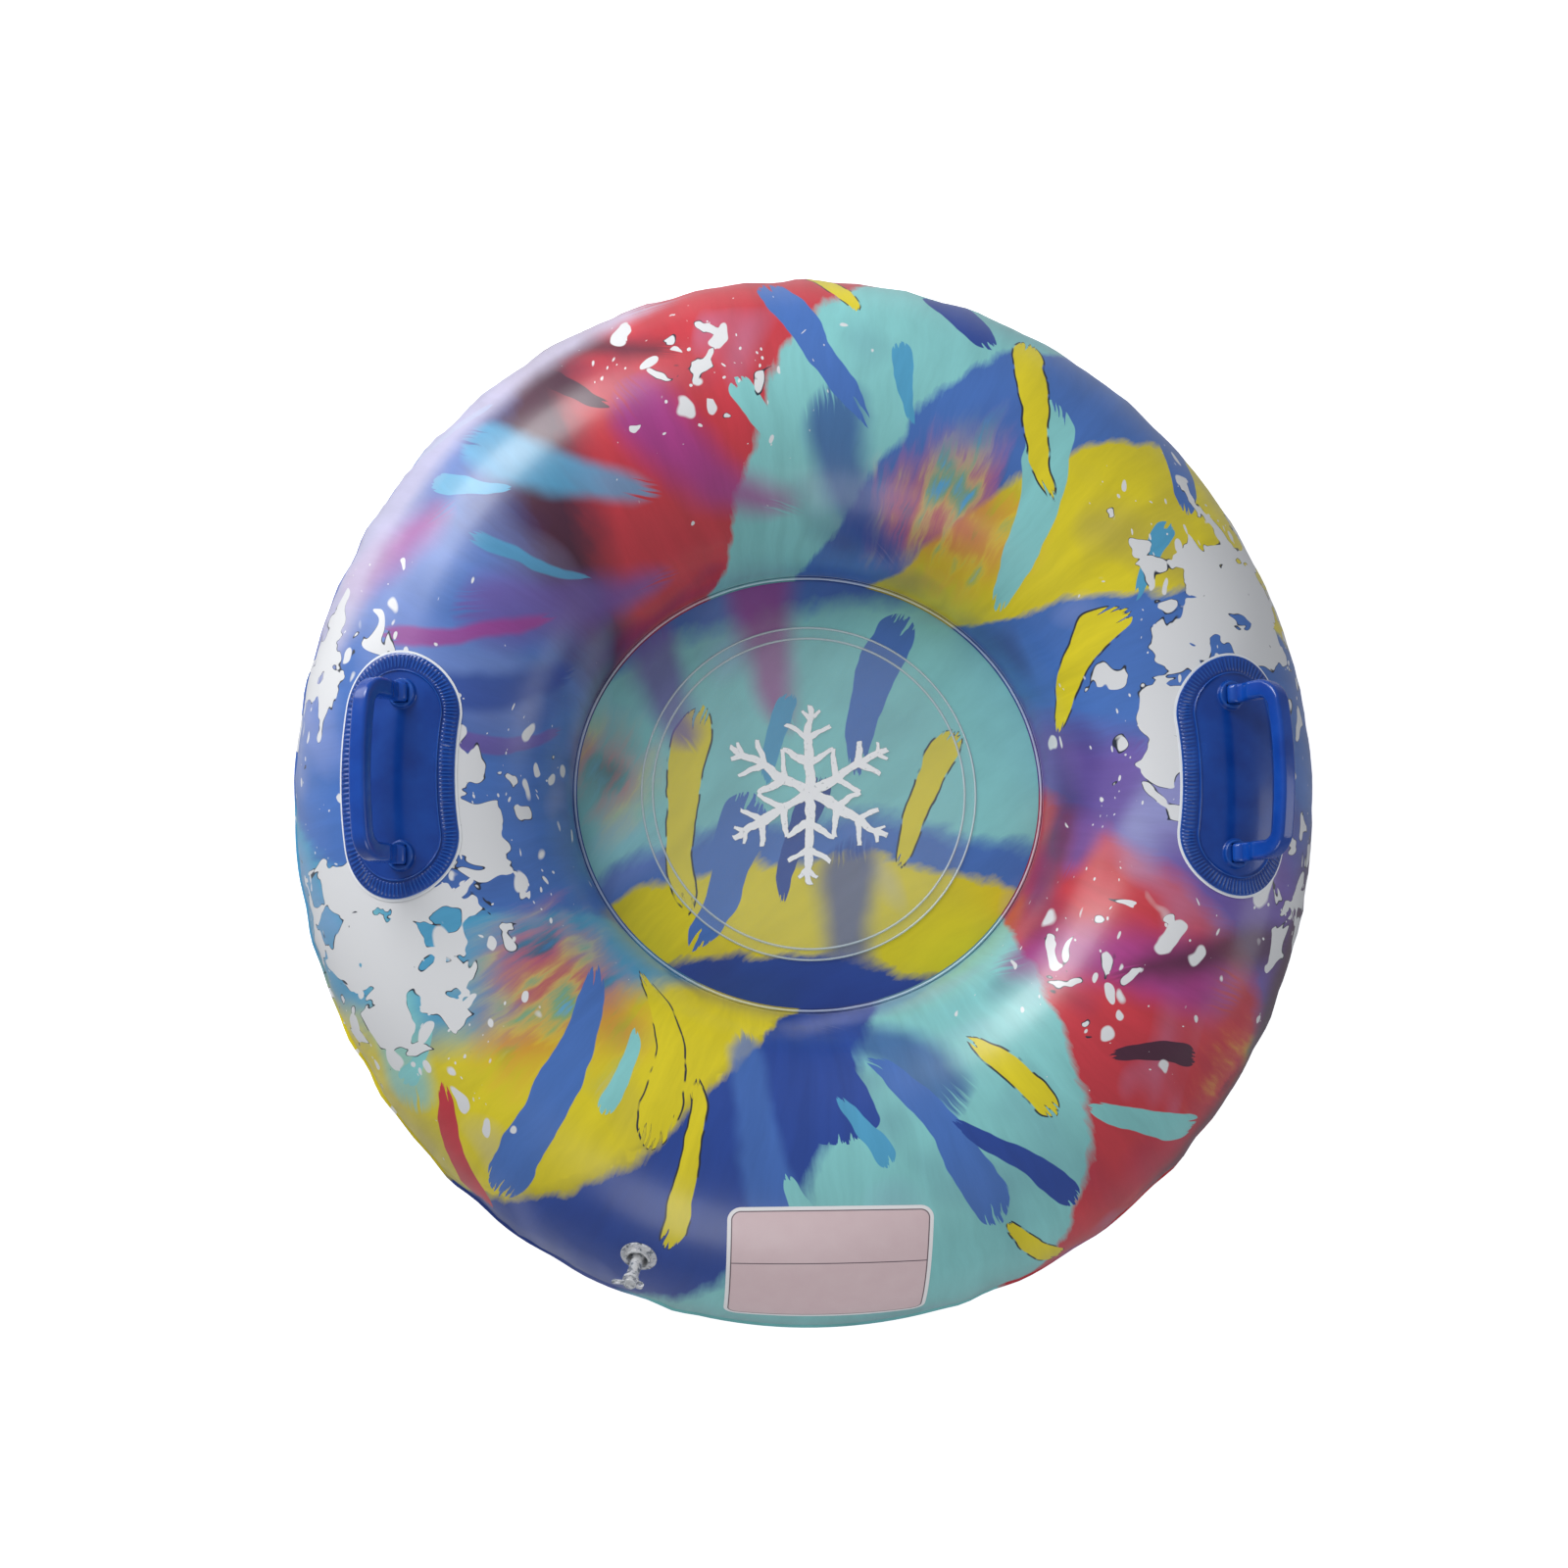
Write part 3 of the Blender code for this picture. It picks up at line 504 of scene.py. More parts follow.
def splash_print(name, sectors, strokes, feathering, blots=()):
    """A generic splash print on the flat sheet: sectors, feathering, brush strokes, blots and drops."""
    tree = bpy.data.node_groups.new(name, "ShaderNodeTree")
    tree.interface.new_socket("Sheet", in_out="INPUT", socket_type="NodeSocketVector")
    tree.interface.new_socket("Color", in_out="OUTPUT", socket_type="NodeSocketColor")
    sheet = tree.nodes.new("NodeGroupInput").outputs["Sheet"]

    # The paint's edges wander by about 10 mm
    wander = add_node(tree, "TexNoise", {"Vector": sheet, "Scale": 9.0, "Detail": 3.0})
    wander = wander.node.outputs["Color"]
    wander = add_node(tree, "VectorMath", (wander, (0.5, 0.5, 0.5)), "SUBTRACT")
    wandered = add_node(tree, "VectorMath", (wander, (0.032, 0.032, 0.0), sheet), "MULTIPLY_ADD")
    steadier = add_node(tree, "VectorMath", (wander, (0.035, 0.035, 0.0), sheet), "MULTIPLY_ADD")

    # Sectors: the turn round the sheet, swirled by the radius and frayed by the brush's hairs
    radius = add_node(tree, "VectorMath", (wandered,), "LENGTH")
    heading = add_node(tree, "VectorMath", (wandered,), "NORMALIZE")
    split = add_node(tree, "SeparateXYZ", (wandered,)).node.outputs
    turn = add_node(tree, "Math", (split["Y"], split["X"]), "ARCTAN2")
    shares = (turn, 1 / (2 * math.pi), 0.5 - SWIRL * RING_RADIUS)
    shares = add_node(tree, "Math", shares, "MULTIPLY_ADD")
    swirled = add_node(tree, "Math", (radius, SWIRL, shares), "MULTIPLY_ADD")
    along = add_node(tree, "CombineXYZ", {2: radius})
    hairs = add_node(tree, "VectorMath", {0: heading, "Scale": 14.0}, "SCALE")
    hairs = add_node(tree, "VectorMath", (along, (5.0, 5.0, 5.0), hairs), "MULTIPLY_ADD")
    hairs = add_node(tree, "TexNoise", {"Vector": hairs, "Scale": 1.0, "Detail": 6.0, "Roughness": 0.65})
    dabs = add_node(tree, "TexNoise", {"Vector": sheet, "Scale": 30.0, "Detail": 5.0, "Roughness": 0.6})
    frayed = add_node(tree, "Math", (hairs, 0.016, swirled), "MULTIPLY_ADD")
    frayed = add_node(tree, "Math", (dabs, 0.006, frayed), "MULTIPLY_ADD")
    frayed = add_node(tree, "Math", (frayed, -0.011), "ADD")
    frayed = add_node(tree, "Math", (frayed,), "FRACT")
    paint = add_node(tree, "ValToRGB", (frayed,))
    stops = paint.node.color_ramp.elements
    before, softness = sectors[-1][1:]
    stops[0].color = stops[1].color = before
    end = 0.0
    for share, colour, after in sectors:
        for place, shade in ((end, before), (end + softness, colour)):
            stops.new(min(place, 0.999)).color = shade
        end += share
        before, softness = colour, after

    # A broken ink line along the crisp edges of the yellow
    broken = noise_share(tree, sheet, 34.0, 2.0, low=0.42, high=0.47)
    inked = add_node(tree, "ValToRGB", (frayed,))
    stops = inked.node.color_ramp.elements
    stops[0].color = stops[1].color = (0.0, 0.0, 0.0, 1.0)
    end = 0.0
    for (share, colour, after), (_, beyond, _) in zip(sectors, sectors[1:]):
        end += share
        if after < CRISP and YELLOW in (colour, beyond):
            for place, shade in ((end - 0.0004, 0.0), (end, 1.0), (end + 0.0004, 1.0), (end + 0.0008, 0.0)):
                stops.new(place).color = (shade, shade, shade, 1.0)
    inked = add_node(tree, "Math", (inked, broken), "MULTIPLY")
    paint = add_node(tree, "Mix", {0: inked, 6: paint, 7: INK}, data_type="RGBA")

    # Sprayed haze: deep violet in places, deepened towards the hole by a painted shade, and pale lilac in
    # others
    violet_haze_and_shade = noise_share(tree, sheet, 6.5, 2.0, low=0.52, high=0.72, most=0.75)
    # Painted shade: the violet haze grows darker towards the hole
    painted_hole_shade = add_node(tree, "MapRange", (radius, 0.46, 0.24, 0.25, 1.0))
    violet_haze_and_shade = add_node(tree, "Math", (violet_haze_and_shade, painted_hole_shade), "MULTIPLY")
    paint = add_node(tree, "Mix", {0: violet_haze_and_shade, 6: paint, 7: srgb("33286A")}, data_type="RGBA")
    pale = noise_share(tree, sheet, 4.5, 2.0, low=0.56, high=0.75, most=0.65, Distortion=0.6)
    paint = add_node(tree, "Mix", {0: pale, 6: paint, 7: srgb("9FA8D8")}, data_type="RGBA")

    # Feathering: warm colours mixed wet, drawn out by the brush at their edges
    field = spot_field(tree, wandered, feathering)
    drawn = add_node(tree, "Math", (hairs, 0.14, field), "MULTIPLY_ADD")
    drawn = {0: drawn, 1: 0.045, 2: 0.140, 4: 0.85}
    drawn = add_node(tree, "MapRange", drawn, interpolation_type="SMOOTHSTEP")
    wet = add_node(tree, "TexNoise", {"Vector": wandered, "Scale": 11.0, "Detail": 2.0})
    wet = add_node(tree, "Math", (wet, hairs), "ADD")
    wet = add_node(tree, "Math", (wet, 0.5), "MULTIPLY")
    wet = add_node(tree, "ValToRGB", (wet,))
    stops = wet.node.color_ramp.elements
    stops[0].position = 0.37
    stops[0].color = DEEP
    stops[1].position = 0.64
    stops[1].color = TEAL
    for place, shade in ((0.41, MAROON), (0.46, RED), (0.51, ORANGE), (0.555, OCHRE), (0.60, GREEN)):
        stops.new(place).color = shade
    paint = add_node(tree, "Mix", {0: drawn, 6: paint, 7: wet}, data_type="RGBA")

    # Brush strokes: bowed, thicker towards one end, with bristle marks where they run out
    for azimuth, spot, slant, half_length, half_width, bow, softness, colour in strokes:
        local = local_place(tree, steadier, on_sheet(azimuth, spot), azimuth + slant)
        squared = add_node(tree, "Math", (local["X"], 2.0), "POWER")
        beside = add_node(tree, "Math", (squared, bow, local["Y"]), "MULTIPLY_ADD")
        bristle = add_node(tree, "Math", (beside, 240.0, azimuth), "MULTIPLY_ADD")
        bristle = {"W": bristle, "Scale": 1.0, "Detail": 3.0}
        bristle = add_node(tree, "TexNoise", bristle, noise_dimensions="1D")
        reach = add_node(tree, "Math", (local["X"],), "ABSOLUTE")
        reach = add_node(tree, "Math", (reach, -1.0, 0.55 * half_length), "MULTIPLY_ADD")
        reach = add_node(tree, "Math", (bristle, 0.75 * half_length, reach), "MULTIPLY_ADD")
        rounding = add_node(tree, "Math", (squared, half_length**-2), "MULTIPLY")
        rounding = add_node(tree, "Math", (rounding, 4.0), "POWER")
        rounding = add_node(tree, "Math", (1.0, rounding), "SUBTRACT")
        thicker = (local["X"], 0.35 * half_width / half_length, 0.85 * half_width)
        thicker = add_node(tree, "Math", thicker, "MULTIPLY_ADD")
        thicker = add_node(tree, "Math", (thicker, rounding), "MULTIPLY")
        beside = add_node(tree, "Math", (beside,), "ABSOLUTE")
        beside = add_node(tree, "Math", (thicker, beside), "SUBTRACT")
        depth = add_node(tree, "Math", (reach, beside), "MINIMUM")
        if colour == YELLOW:
            paint = lay_paint(tree, paint, INK, depth, -0.0022, -0.0015, broken)
        laid = {0: depth, 1: -0.5 * softness, 2: 0.5 * softness, 4: 1.0 if softness < 0.002 else 0.8}
        laid = add_node(tree, "MapRange", laid, interpolation_type="SMOOTHSTEP")
        paint = add_node(tree, "Mix", {0: laid, 6: paint, 7: colour}, data_type="RGBA")

    # The brush leaves lighter and darker hairs in all of the paint
    streak = add_node(tree, "MapRange", (hairs, 0.30, 0.72, 0.87, 1.10))
    paint = add_node(tree, "VectorMath", {0: paint, "Scale": streak}, "SCALE")

    if blots:
        paint = splash_blots(tree, paint, sheet, wander, wandered, broken, blots)
    way_out = tree.nodes.new("NodeGroupOutput")
    tree.links.new(paint, way_out.inputs["Color"])
    return tree


def new_material(name, **settings):
    """A material whose shader has its constant values set on its own sockets."""
    made = bpy.data.materials.new(name)
    made.use_nodes = True
    shader = made.node_tree.nodes["Principled BSDF"]
    for socket, value in settings.items():
        shader.inputs[socket.replace("_", " ")].default_value = value
    return made, made.node_tree, shader


def mottled(tree, place, scale, detail, dark, light, low=0.0, high=1.0):
    """A colour that drifts between two shades in clouds, as near shades do in real film and mouldings; on
    the valve, far apart, its clouds are painted glints and shade.
    """
    share = noise_share(tree, place, scale, detail, low, high)
    return add_node(tree, "Mix", {0: share, 6: srgb(dark), 7: srgb(light)}, data_type="RGBA")


def cloudy_gloss(tree, shader, place, scale, detail, roughness):
    """Joins a roughness to the shader that is a little higher and lower in clouds."""
    rough = noise_share(tree, place, scale, detail, 0.3, 0.7, roughness - 0.04, roughness + 0.05)
    tree.links.new(rough, shader.inputs["Roughness"])


def link_relief(tree, shader, place, scale, depth, detail=2.0):
    """Joins a noise to the shader as relief of a real depth."""
    height = add_node(tree, "TexNoise", {"Vector": place, "Scale": scale, "Detail": detail})
    relief = add_node(tree, "Bump", {"Height": height, "Distance": depth, "Strength": 1.0})
    tree.links.new(relief, shader.inputs["Normal"])


def from_axis(tree, place):
    """How far a place is from the ring's axis."""
    flat = add_node(tree, "VectorMath", (place, (1.0, 1.0, 0.0)), "MULTIPLY")
    return add_node(tree, "VectorMath", (flat,), "LENGTH")


def film_surface(tree, shader, roughness):
    """Calendered film: faint cloudiness in the gloss, and an orange-peel relief of about 4 mm."""
    place = add_node(tree, "TexCoord").node.outputs["Object"]
    cloudy_gloss(tree, shader, place, scale=18.0, detail=3.0, roughness=roughness)
    link_relief(tree, shader, place, scale=240.0, depth=0.00006)
    return place


BEAD_FOOT = MIDDLE_HEIGHT + 0.0014  # where the weld bead round the hole meets the film

# Printed film: satin PVC, gravure printed. A soft broad sheen over a flat, slightly uneven print.
PRINTED_SHEEN = dict(Coat_Weight=0.25, Coat_Roughness=0.22)
printed_film, tree, shader = new_material("satin_printed_pvc_film", **PRINTED_SHEEN)
place = film_surface(tree, shader, 0.34)
ring_print = splash_print("ring_splash_print", SECTORS, STROKES, FEATHERING, WHITE_BLOTS)
sheet_map = add_node(tree, "UVMap", uv_map="print_sheet")
tint = add_node(tree, "Group", {}, node_tree=ring_print)
tree.links.new(sheet_map, tint.node.inputs["Sheet"])

# The weld bead round the hole: a painted highlight lightens its top, and a painted shade darkens the flat
# weld margin beside it
rim_side = from_axis(tree, place)
rim_side = add_node(tree, "Math", (rim_side, RING_RADIUS), "LESS_THAN")
rim_height = add_node(tree, "SeparateXYZ", (place,)).node.outputs["Z"]
for low, high, share, colour in (
    (BEAD_FOOT, BEAD_FOOT + 0.0018, 0.60, "DCE8F4"),
    (BEAD_FOOT - 0.0114, BEAD_FOOT, 0.45, "16245A"),
):
    band = add_node(tree, "Math", (rim_height, low), "GREATER_THAN")
    under = add_node(tree, "Math", (rim_height, high), "LESS_THAN")
    band = add_node(tree, "Math", (band, under), "MULTIPLY")
    band = add_node(tree, "Math", (band, rim_side), "MULTIPLY")
    band = add_node(tree, "Math", (band, share), "MULTIPLY")
    tint = add_node(tree, "Mix", {0: band, 6: tint, 7: srgb(colour)}, data_type="RGBA")
tree.links.new(tint, shader.inputs["Base Color"])

top_skin = half_ring(1)
lay_out_sheet(top_skin)
pucker(top_skin)
valve_middle = skin_point(VALVE_AZIMUTH, VALVE_ANGLE)
valve_axis = skin_normal(VALVE_AZIMUTH, VALVE_ANGLE)
edit(top_skin)
pick(top_skin, "FACE", lambda middle, face: (middle - valve_middle).length < SKIN_HOLE_RADIUS)
bpy.ops.mesh.delete(type="FACE")
leave()
for vert in top_skin.data.vertices:
    off = vert.co - valve_middle
    flat = off - off.dot(valve_axis) * valve_axis
    if flat.length < SKIN_HOLE_RADIUS and off.length < 2 * SKIN_HOLE_RADIUS:
        vert.co += flat.normalized() * (SKIN_HOLE_RADIUS - flat.length)
apply_modifier(top_skin, "SOLIDIFY", thickness=FILM_WALL, offset=-1.0, use_even_offset=True)
finish_piece(top_skin, "top_skin_film", printed_film, "root")
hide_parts("ring_top_skin")


# Lower skin: the same film, plain blue. It lies on the ground along a narrow flat band. The eye sees
# a soft sheen, and pale scuffs about 3 mm wide and 45 mm long, as sliding over snow leaves them.
PLAIN_SHEEN = dict(Coat_Weight=0.2, Coat_Roughness=0.25)
bottom_film, tree, shader = new_material("satin_plain_blue_pvc_film", **PLAIN_SHEEN)
place = film_surface(tree, shader, 0.38)
tint = mottled(tree, place, 7.0, 4.0, "20409A", "284CA8", low=0.3, high=0.7)
scuffs = add_node(tree, "Mapping", {"Vector": place, "Scale": (300.0, 22.0, 60.0)})
scuffs = noise_share(tree, scuffs, 1.0, 2.0, low=0.70, high=0.78, most=0.35)
tint = add_node(tree, "Mix", {0: scuffs, 6: tint, 7: srgb("5C78C2")}, data_type="RGBA")
tree.links.new(tint, shader.inputs["Base Color"])

bottom_skin = half_ring(-1)
pucker(bottom_skin)
pressed = places(bottom_skin)
pressed[:, 2] = np.maximum(pressed[:, 2], 0.0)
move_to(bottom_skin, pressed)
apply_modifier(bottom_skin, "SOLIDIFY", thickness=FILM_WALL, offset=-1.0, use_even_offset=True)
finish_piece(bottom_skin, "bottom_skin_film", bottom_film, "root")
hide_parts("ring_bottom_skin")


# Floor: a taut disc of the same printed film, held in the inner seam. It dips a little in the middle
# and has fine tension folds where the rim pulls it.
FLOOR_STEPS = 288
FLOOR_DIP = 0.0020
FLOOR_RINGS = 22  # of faces, from the rim inwards
FLOOR_RING_WIDTH = 0.010
FLAT_RIM = 0.224  # no dip outside it


def dip(radius):
    return -FLOOR_DIP * np.clip(1 - (radius / FLAT_RIM) ** 2, 0, 1)


FLOOR_PRINT_RADIUS = 0.62  # from the middle of the print's swirl to the middle of the floor
FLOOR_SECTORS = (
    (0.745, DEEP, 0.0006),
    (0.034, YELLOW, 0.0006),
    (0.012, SKY, 0.006),
    (0.072, AQUA, 0.0006),
    (0.010, SKY, 0.008),
    (0.014, VIOLET, 0.012),
    (0.043, MAGENTA, 0.020),
    (0.070, DEEP, 0.010),
)
FLOOR_STROKES = (
    (99, 0.520, 30, 0.110, 0.018, 1.2, 0.0010, YELLOW),
    (90, 0.500, 24, 0.090, 0.024, -1.0, 0.0010, SKY),
    (88, 0.580, 30, 0.070, 0.013, 1.4, 0.0010, DEEP),
    (92, 0.740, 24, 0.090, 0.020, 1.2, 0.0010, SKY),
    (102, 0.720, 40, 0.100, 0.030, 1.0, 0.0350, MAGENTA),
    (77, 0.560, 60, 0.090, 0.026, 1.0, 0.0300, DEEP),
    (83, 0.700, 30, 0.080, 0.014, 1.2, 0.0010, YELLOW),
    (107, 0.620, 50, 0.070, 0.026, 1.0, 0.0300, VIOLET),
    (96, 0.640, 20, 0.050, 0.010, 1.6, 0.0010, TEAL),
)
FLOOR_FEATHERING = ((108, 0.520, 0.050),)
FOLDS_FROM = 0.176  # the folds begin here and are deepest just inside the rim
FOLDS_TO = 0.226

# Floor film: satin PVC, printed and calendered as the ring's is, with the same soft broad sheen.
floor_film, tree, shader = new_material("satin_printed_floor_film", **PRINTED_SHEEN)
place = film_surface(tree, shader, 0.33)
floor_sheet = {
    "Vector": place,
    "Location": (0.0, FLOOR_PRINT_RADIUS, 0.0),
    "Rotation": (0.0, 0.0, math.radians(45.0)),
    "Scale": (1.0, 1.0, 0.0),
}
floor_sheet = add_node(tree, "Mapping", floor_sheet)
floor_print = splash_print("floor_splash_print", FLOOR_SECTORS, FLOOR_STROKES, FLOOR_FEATHERING)
tint = add_node(tree, "Group", {}, node_tree=floor_print)
tree.links.new(floor_sheet, tint.node.inputs["Sheet"])
tree.links.new(tint, shader.inputs["Base Color"])

hole_radius = RING_RADIUS - TUBE_HALF_WIDTH
floor = new_shape(
    bpy.ops.mesh.primitive_circle_add,
    vertices=FLOOR_STEPS,
    radius=hole_radius,
    fill_type="NGON",
    location=(0, 0, MIDDLE_HEIGHT),
)
for step in range(FLOOR_RINGS):
    bpy.ops.mesh.inset(thickness=FLOOR_RING_WIDTH)
bpy.ops.mesh.poke()
leave()
points = places(floor)
azimuth, radius = polar(points)
points[:, :2] *= ((RING_RADIUS - tube_half_width(azimuth)) / hole_radius)[:, None]
points[:, 2] += dip(radius)
move_to(floor, points)
fold_weights = np.clip((radius - FOLDS_FROM) / 0.02, 0, 1) * np.clip((FOLDS_TO - radius) / 0.008, 0, 1)
ruffle(floor, "tension_folds", fold_weights, grain=0.03, depth=2, strength=0.0016, direction="Z")
apply_modifier(floor, "SOLIDIFY", thickness=FILM_WALL, offset=0.0)
finish_piece(floor, "floor_film", floor_film, "root")
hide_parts("seat_floor")


# Clear disc: a round of clear film welded on the floor by a band with a fine ridge along both edges.
# A white frost star is printed on it with a dry brush.
DISC_STEPS = 192
DISC_BASE = MIDDLE_HEIGHT + FILM_WALL / 2 + 0.0003
DISC_PROFILE = (  # radius, height over the disc's underside
    (0.0, 0.0), (0.172, 0.0), (0.172, 0.0009), (0.1716, 0.0013),
    (0.1710, 0.0018), (0.1704, 0.0013), (0.1700, 0.0010), (0.1610, 0.0010),
    (0.1604, 0.0013), (0.1598, 0.0018), (0.1590, 0.0012), (0.1585, 0.0005),
    (0.150, 0.0005), (0.130, 0.0005), (0.105, 0.0005), (0.080, 0.0005),
    (0.050, 0.0005), (0.020, 0.0005), (0.0, 0.0005),
)


def lathe(profile, steps, closed=False):
    """A piece turned about +Z: its outline is drawn point by point, then spun round."""
    turned = new_shape(bpy.ops.mesh.primitive_plane_add, size=0.01)
    bpy.ops.mesh.merge(type="CENTER")
    radius, height = profile[0]
    shift(radius, 0, height)
    for (radius, height), (further, higher) in zip(profile, profile[1:]):
        bpy.ops.mesh.extrude_region()
        shift(further - radius, 0, higher - height)
    select_all()
    if closed:
        bpy.ops.mesh.edge_face_add()
        bpy.ops.mesh.delete(type="ONLY_FACE")
        select_all()
    bpy.ops.mesh.spin(steps=steps, angle=2 * math.pi, center=(0, 0, 0), axis=(0, 0, 1))
    select_all()
    bpy.ops.mesh.remove_doubles(threshold=0.000005)
    face_outwards_and_leave()
    return turned


def distance(tree, value, mark):
    """How far a value is from a mark, to either side."""
    off = add_node(tree, "Math", (value, mark), "SUBTRACT")
    return add_node(tree, "Math", (off,), "ABSOLUTE")


FROST_LINES = (  # start on the arm, slant from it, length, half width
    (0.0, 0, 0.092, 0.0058),
    (0.030, 60, 0.030, 0.0042),
    (0.056, 55, 0.027, 0.0040),
    (0.078, 50, 0.013, 0.0032),
)
RIDGE_RADII = (0.1710, 0.1597)  # the tops of the weld band's two ridges

# Clear film: calendered PVC. The print under it shows, painted highlights run along the weld's two ridges
# as pale, less clear lines, and the white of the frost star lies matt on it.
DISC_SURFACE = dict(Roughness=0.22, IOR=1.53)
disc_film, tree, shader = new_material("clear_pvc_film_with_white_print", **DISC_SURFACE)
place = add_node(tree, "TexCoord").node.outputs["Object"]
brush = add_node(tree, "TexNoise", {"Vector": place, "Scale": 30.0, "Detail": 4.0})
brush = brush.node.outputs["Color"]
brush = add_node(tree, "VectorMath", (brush, (0.5, 0.5, 0.5)), "SUBTRACT")
brush = (brush, (0.016, 0.016, 0.0), place)
brush = add_node(tree, "VectorMath", brush, "MULTIPLY_ADD")
split = add_node(tree, "SeparateXYZ", (brush,)).node.outputs
star_turn = add_node(tree, "Math", (split["X"], split["Y"]), "ARCTAN2")
star_turn = add_node(tree, "Math", (star_turn, math.pi / 6), "PINGPONG")
star_radius = from_axis(tree, brush)
cosine = add_node(tree, "Math", (star_turn,), "COSINE")
sine = add_node(tree, "Math", (star_turn,), "SINE")
arm_along = add_node(tree, "Math", (star_radius, cosine), "MULTIPLY")
arm_across = add_node(tree, "Math", (star_radius, sine), "MULTIPLY")
arm = add_node(tree, "CombineXYZ", (arm_along, arm_across))
star = -1.0
for start, slant, length, half_width in FROST_LINES:
    local = local_place(tree, arm, (start, 0, 0), slant)
    past = distance(tree, local["X"], length / 2)
    past = add_node(tree, "Math", (past, -1.0, length / 2), "MULTIPLY_ADD")
    taper = add_node(tree, "MapRange", (local["X"], 0.0, length, half_width, 0.55 * half_width))
    beside = add_node(tree, "Math", (local["Y"],), "ABSOLUTE")
    beside = add_node(tree, "Math", (taper, beside), "SUBTRACT")
    depth = add_node(tree, "Math", (past, beside), "MINIMUM")
    star = add_node(tree, "Math", (depth, star), "MAXIMUM")
star = add_node(tree, "MapRange", (star, -0.0001, 0.0005))
dry = noise_share(tree, place, 260.0, 3.0, low=0.28, high=0.36, least=0.75)
star = add_node(tree, "Math", (star, dry), "MULTIPLY")
disc_radius = from_axis(tree, place)
cover = star
# Painted highlights along the weld band's two ridges: the film is paler and less see-through there
for ridge_radius in RIDGE_RADII:
    line = distance(tree, disc_radius, ridge_radius)
    line = add_node(tree, "MapRange", (line, 0.0005, 0.0015, 0.55, 0.06))
    cover = add_node(tree, "Math", (line, cover), "MAXIMUM")
tree.links.new(cover, shader.inputs["Alpha"])
disc_colour = add_node(tree, "Mix", {0: star, 6: srgb("D9E6EA"), 7: srgb("F4F5F6")}, data_type="RGBA")
tree.links.new(disc_colour, shader.inputs["Base Color"])
link_relief(tree, shader, place, scale=90.0, depth=0.00008)

disc = lathe(DISC_PROFILE, DISC_STEPS)
points = places(disc)
points[:, 2] += DISC_BASE + dip(np.hypot(points[:, 0], points[:, 1]))
move_to(disc, points)
finish_piece(disc, "clear_disc_film", disc_film, "root")
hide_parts("centre_disc")


# Handle patches and pads: a thin white patch is welded over the crown of the ring, and the moulded
# royal blue pad on it. The weld roll leaves fine ribs all round the pad's border, and a raised line
# inside them edges the smooth dish.
PAD_ANGLE = math.radians(13.0)
PAD_LENGTH = 0.236
PAD_WIDTH = 0.114
PATCH_MARGIN = 0.0025
PATCH_BASE = 0.0003
PATCH_WALL = 0.0005
PAD_BASE = 0.0011
PAD_SHELL = 0.0011
PAD_STEPS = (  # inset and rise, from the pad's rounded rim over the ribs and the raised line to the dish
    (0.0005, 0.0004), (0.0012, 0.0), (0.0010, 0.0), (0.0040, 0.0), (0.0040, 0.0),
    (0.0030, 0.0), (0.0010, 0.0), (0.0013, 0.0), (0.0004, 0.0009), (0.0005, 0.0009),
    (0.0004, 0.0002), (0.0005, -0.0006), (0.0006, -0.0007), (0.0020, -0.0001),
)
PAD_LINE_RADIUS = RING_RADIUS + tube_half_width(0.0) * math.sin(PAD_ANGLE)
RIB_HEIGHT = 0.0010
RIBS_FROM = 0.0020  # in from the pad's edge
RIBS_TO = 0.0142
ARC_RIBS = 41
SIDE_RIBS = 28


def drape(obj):
    """Lays a piece modelled flat, with x across, y along and z up, over the ring at its +X side."""
    moved = []
    for across, along, height in places(obj).tolist():
        angle = PAD_ANGLE + across / tube_half_width(0.0)
        moved.append(skin_point(along / PAD_LINE_RADIUS, angle, height))
    move_to(obj, moved)


def cut_grid(half_x, half_y, spacing):
    """Cuts the faces that aren't hidden along lines a spacing apart, so that they can bend."""
    for axis, half in ((0, half_x), (1, half_y)):
        cuts = math.ceil(2 * half / spacing)
        for step in range(1, cuts):
            select_all()
            spot = [0.0, 0.0, 0.0]
            normal = [0.0, 0.0, 0.0]
            spot[axis] = half * (2 * step / cuts - 1)
            normal[axis] = 1.0
            bpy.ops.mesh.bisect(plane_co=spot, plane_no=normal)


def stadium_plate(half_length, half_width, arc_cuts, side_cuts, height):
    """A flat plate with two round ends, as one face."""
    circle = dict(vertices=2 * arc_cuts, radius=half_width, fill_type="NGON", location=(0, 0, height))
    plate = new_shape(bpy.ops.mesh.primitive_circle_add, **circle)
    straight = half_length - half_width
    for way in (1, -1):
        pick(plate, "VERT", lambda middle, vert: way * middle.y > 0.1 * half_width / arc_cuts)
        shift(0, way * straight, 0)
    pick(plate, "EDGE", lambda middle, edge: edge.calc_length() > 0.8 * straight)
    bpy.ops.mesh.subdivide(number_cuts=side_cuts // 2 - 1)
    select_all()
    return plate


def second_handle(piece, name, surface, body):
    """The same piece for the left handle, turned half round the ring."""
    bpy.ops.object.select_all(action="DESELECT")
    twin = piece.copy()
    twin.data = piece.data.copy()
    bpy.context.scene.collection.objects.link(twin)
    twin.parent = None
    twin.matrix_world = Matrix.Identity(4)
    twin.data.transform(Matrix.Rotation(math.pi, 4, "Z"))
    return finish_piece(twin, name, surface, body)


# Patch film: satin white PVC. An even white edge, with an emboss of about 1.5 mm that dulls its sheen.
patch_pvc, tree, shader = new_material("satin_white_pvc_patch", Roughness=0.42)
place = add_node(tree, "TexCoord").node.outputs["Object"]
tint = mottled(tree, place, 60.0, 3.0, "E3E6EA", "F3F4F6")
tree.links.new(tint, shader.inputs["Base Color"])
link_relief(tree, shader, place, scale=700.0, depth=0.00004, detail=1.0)

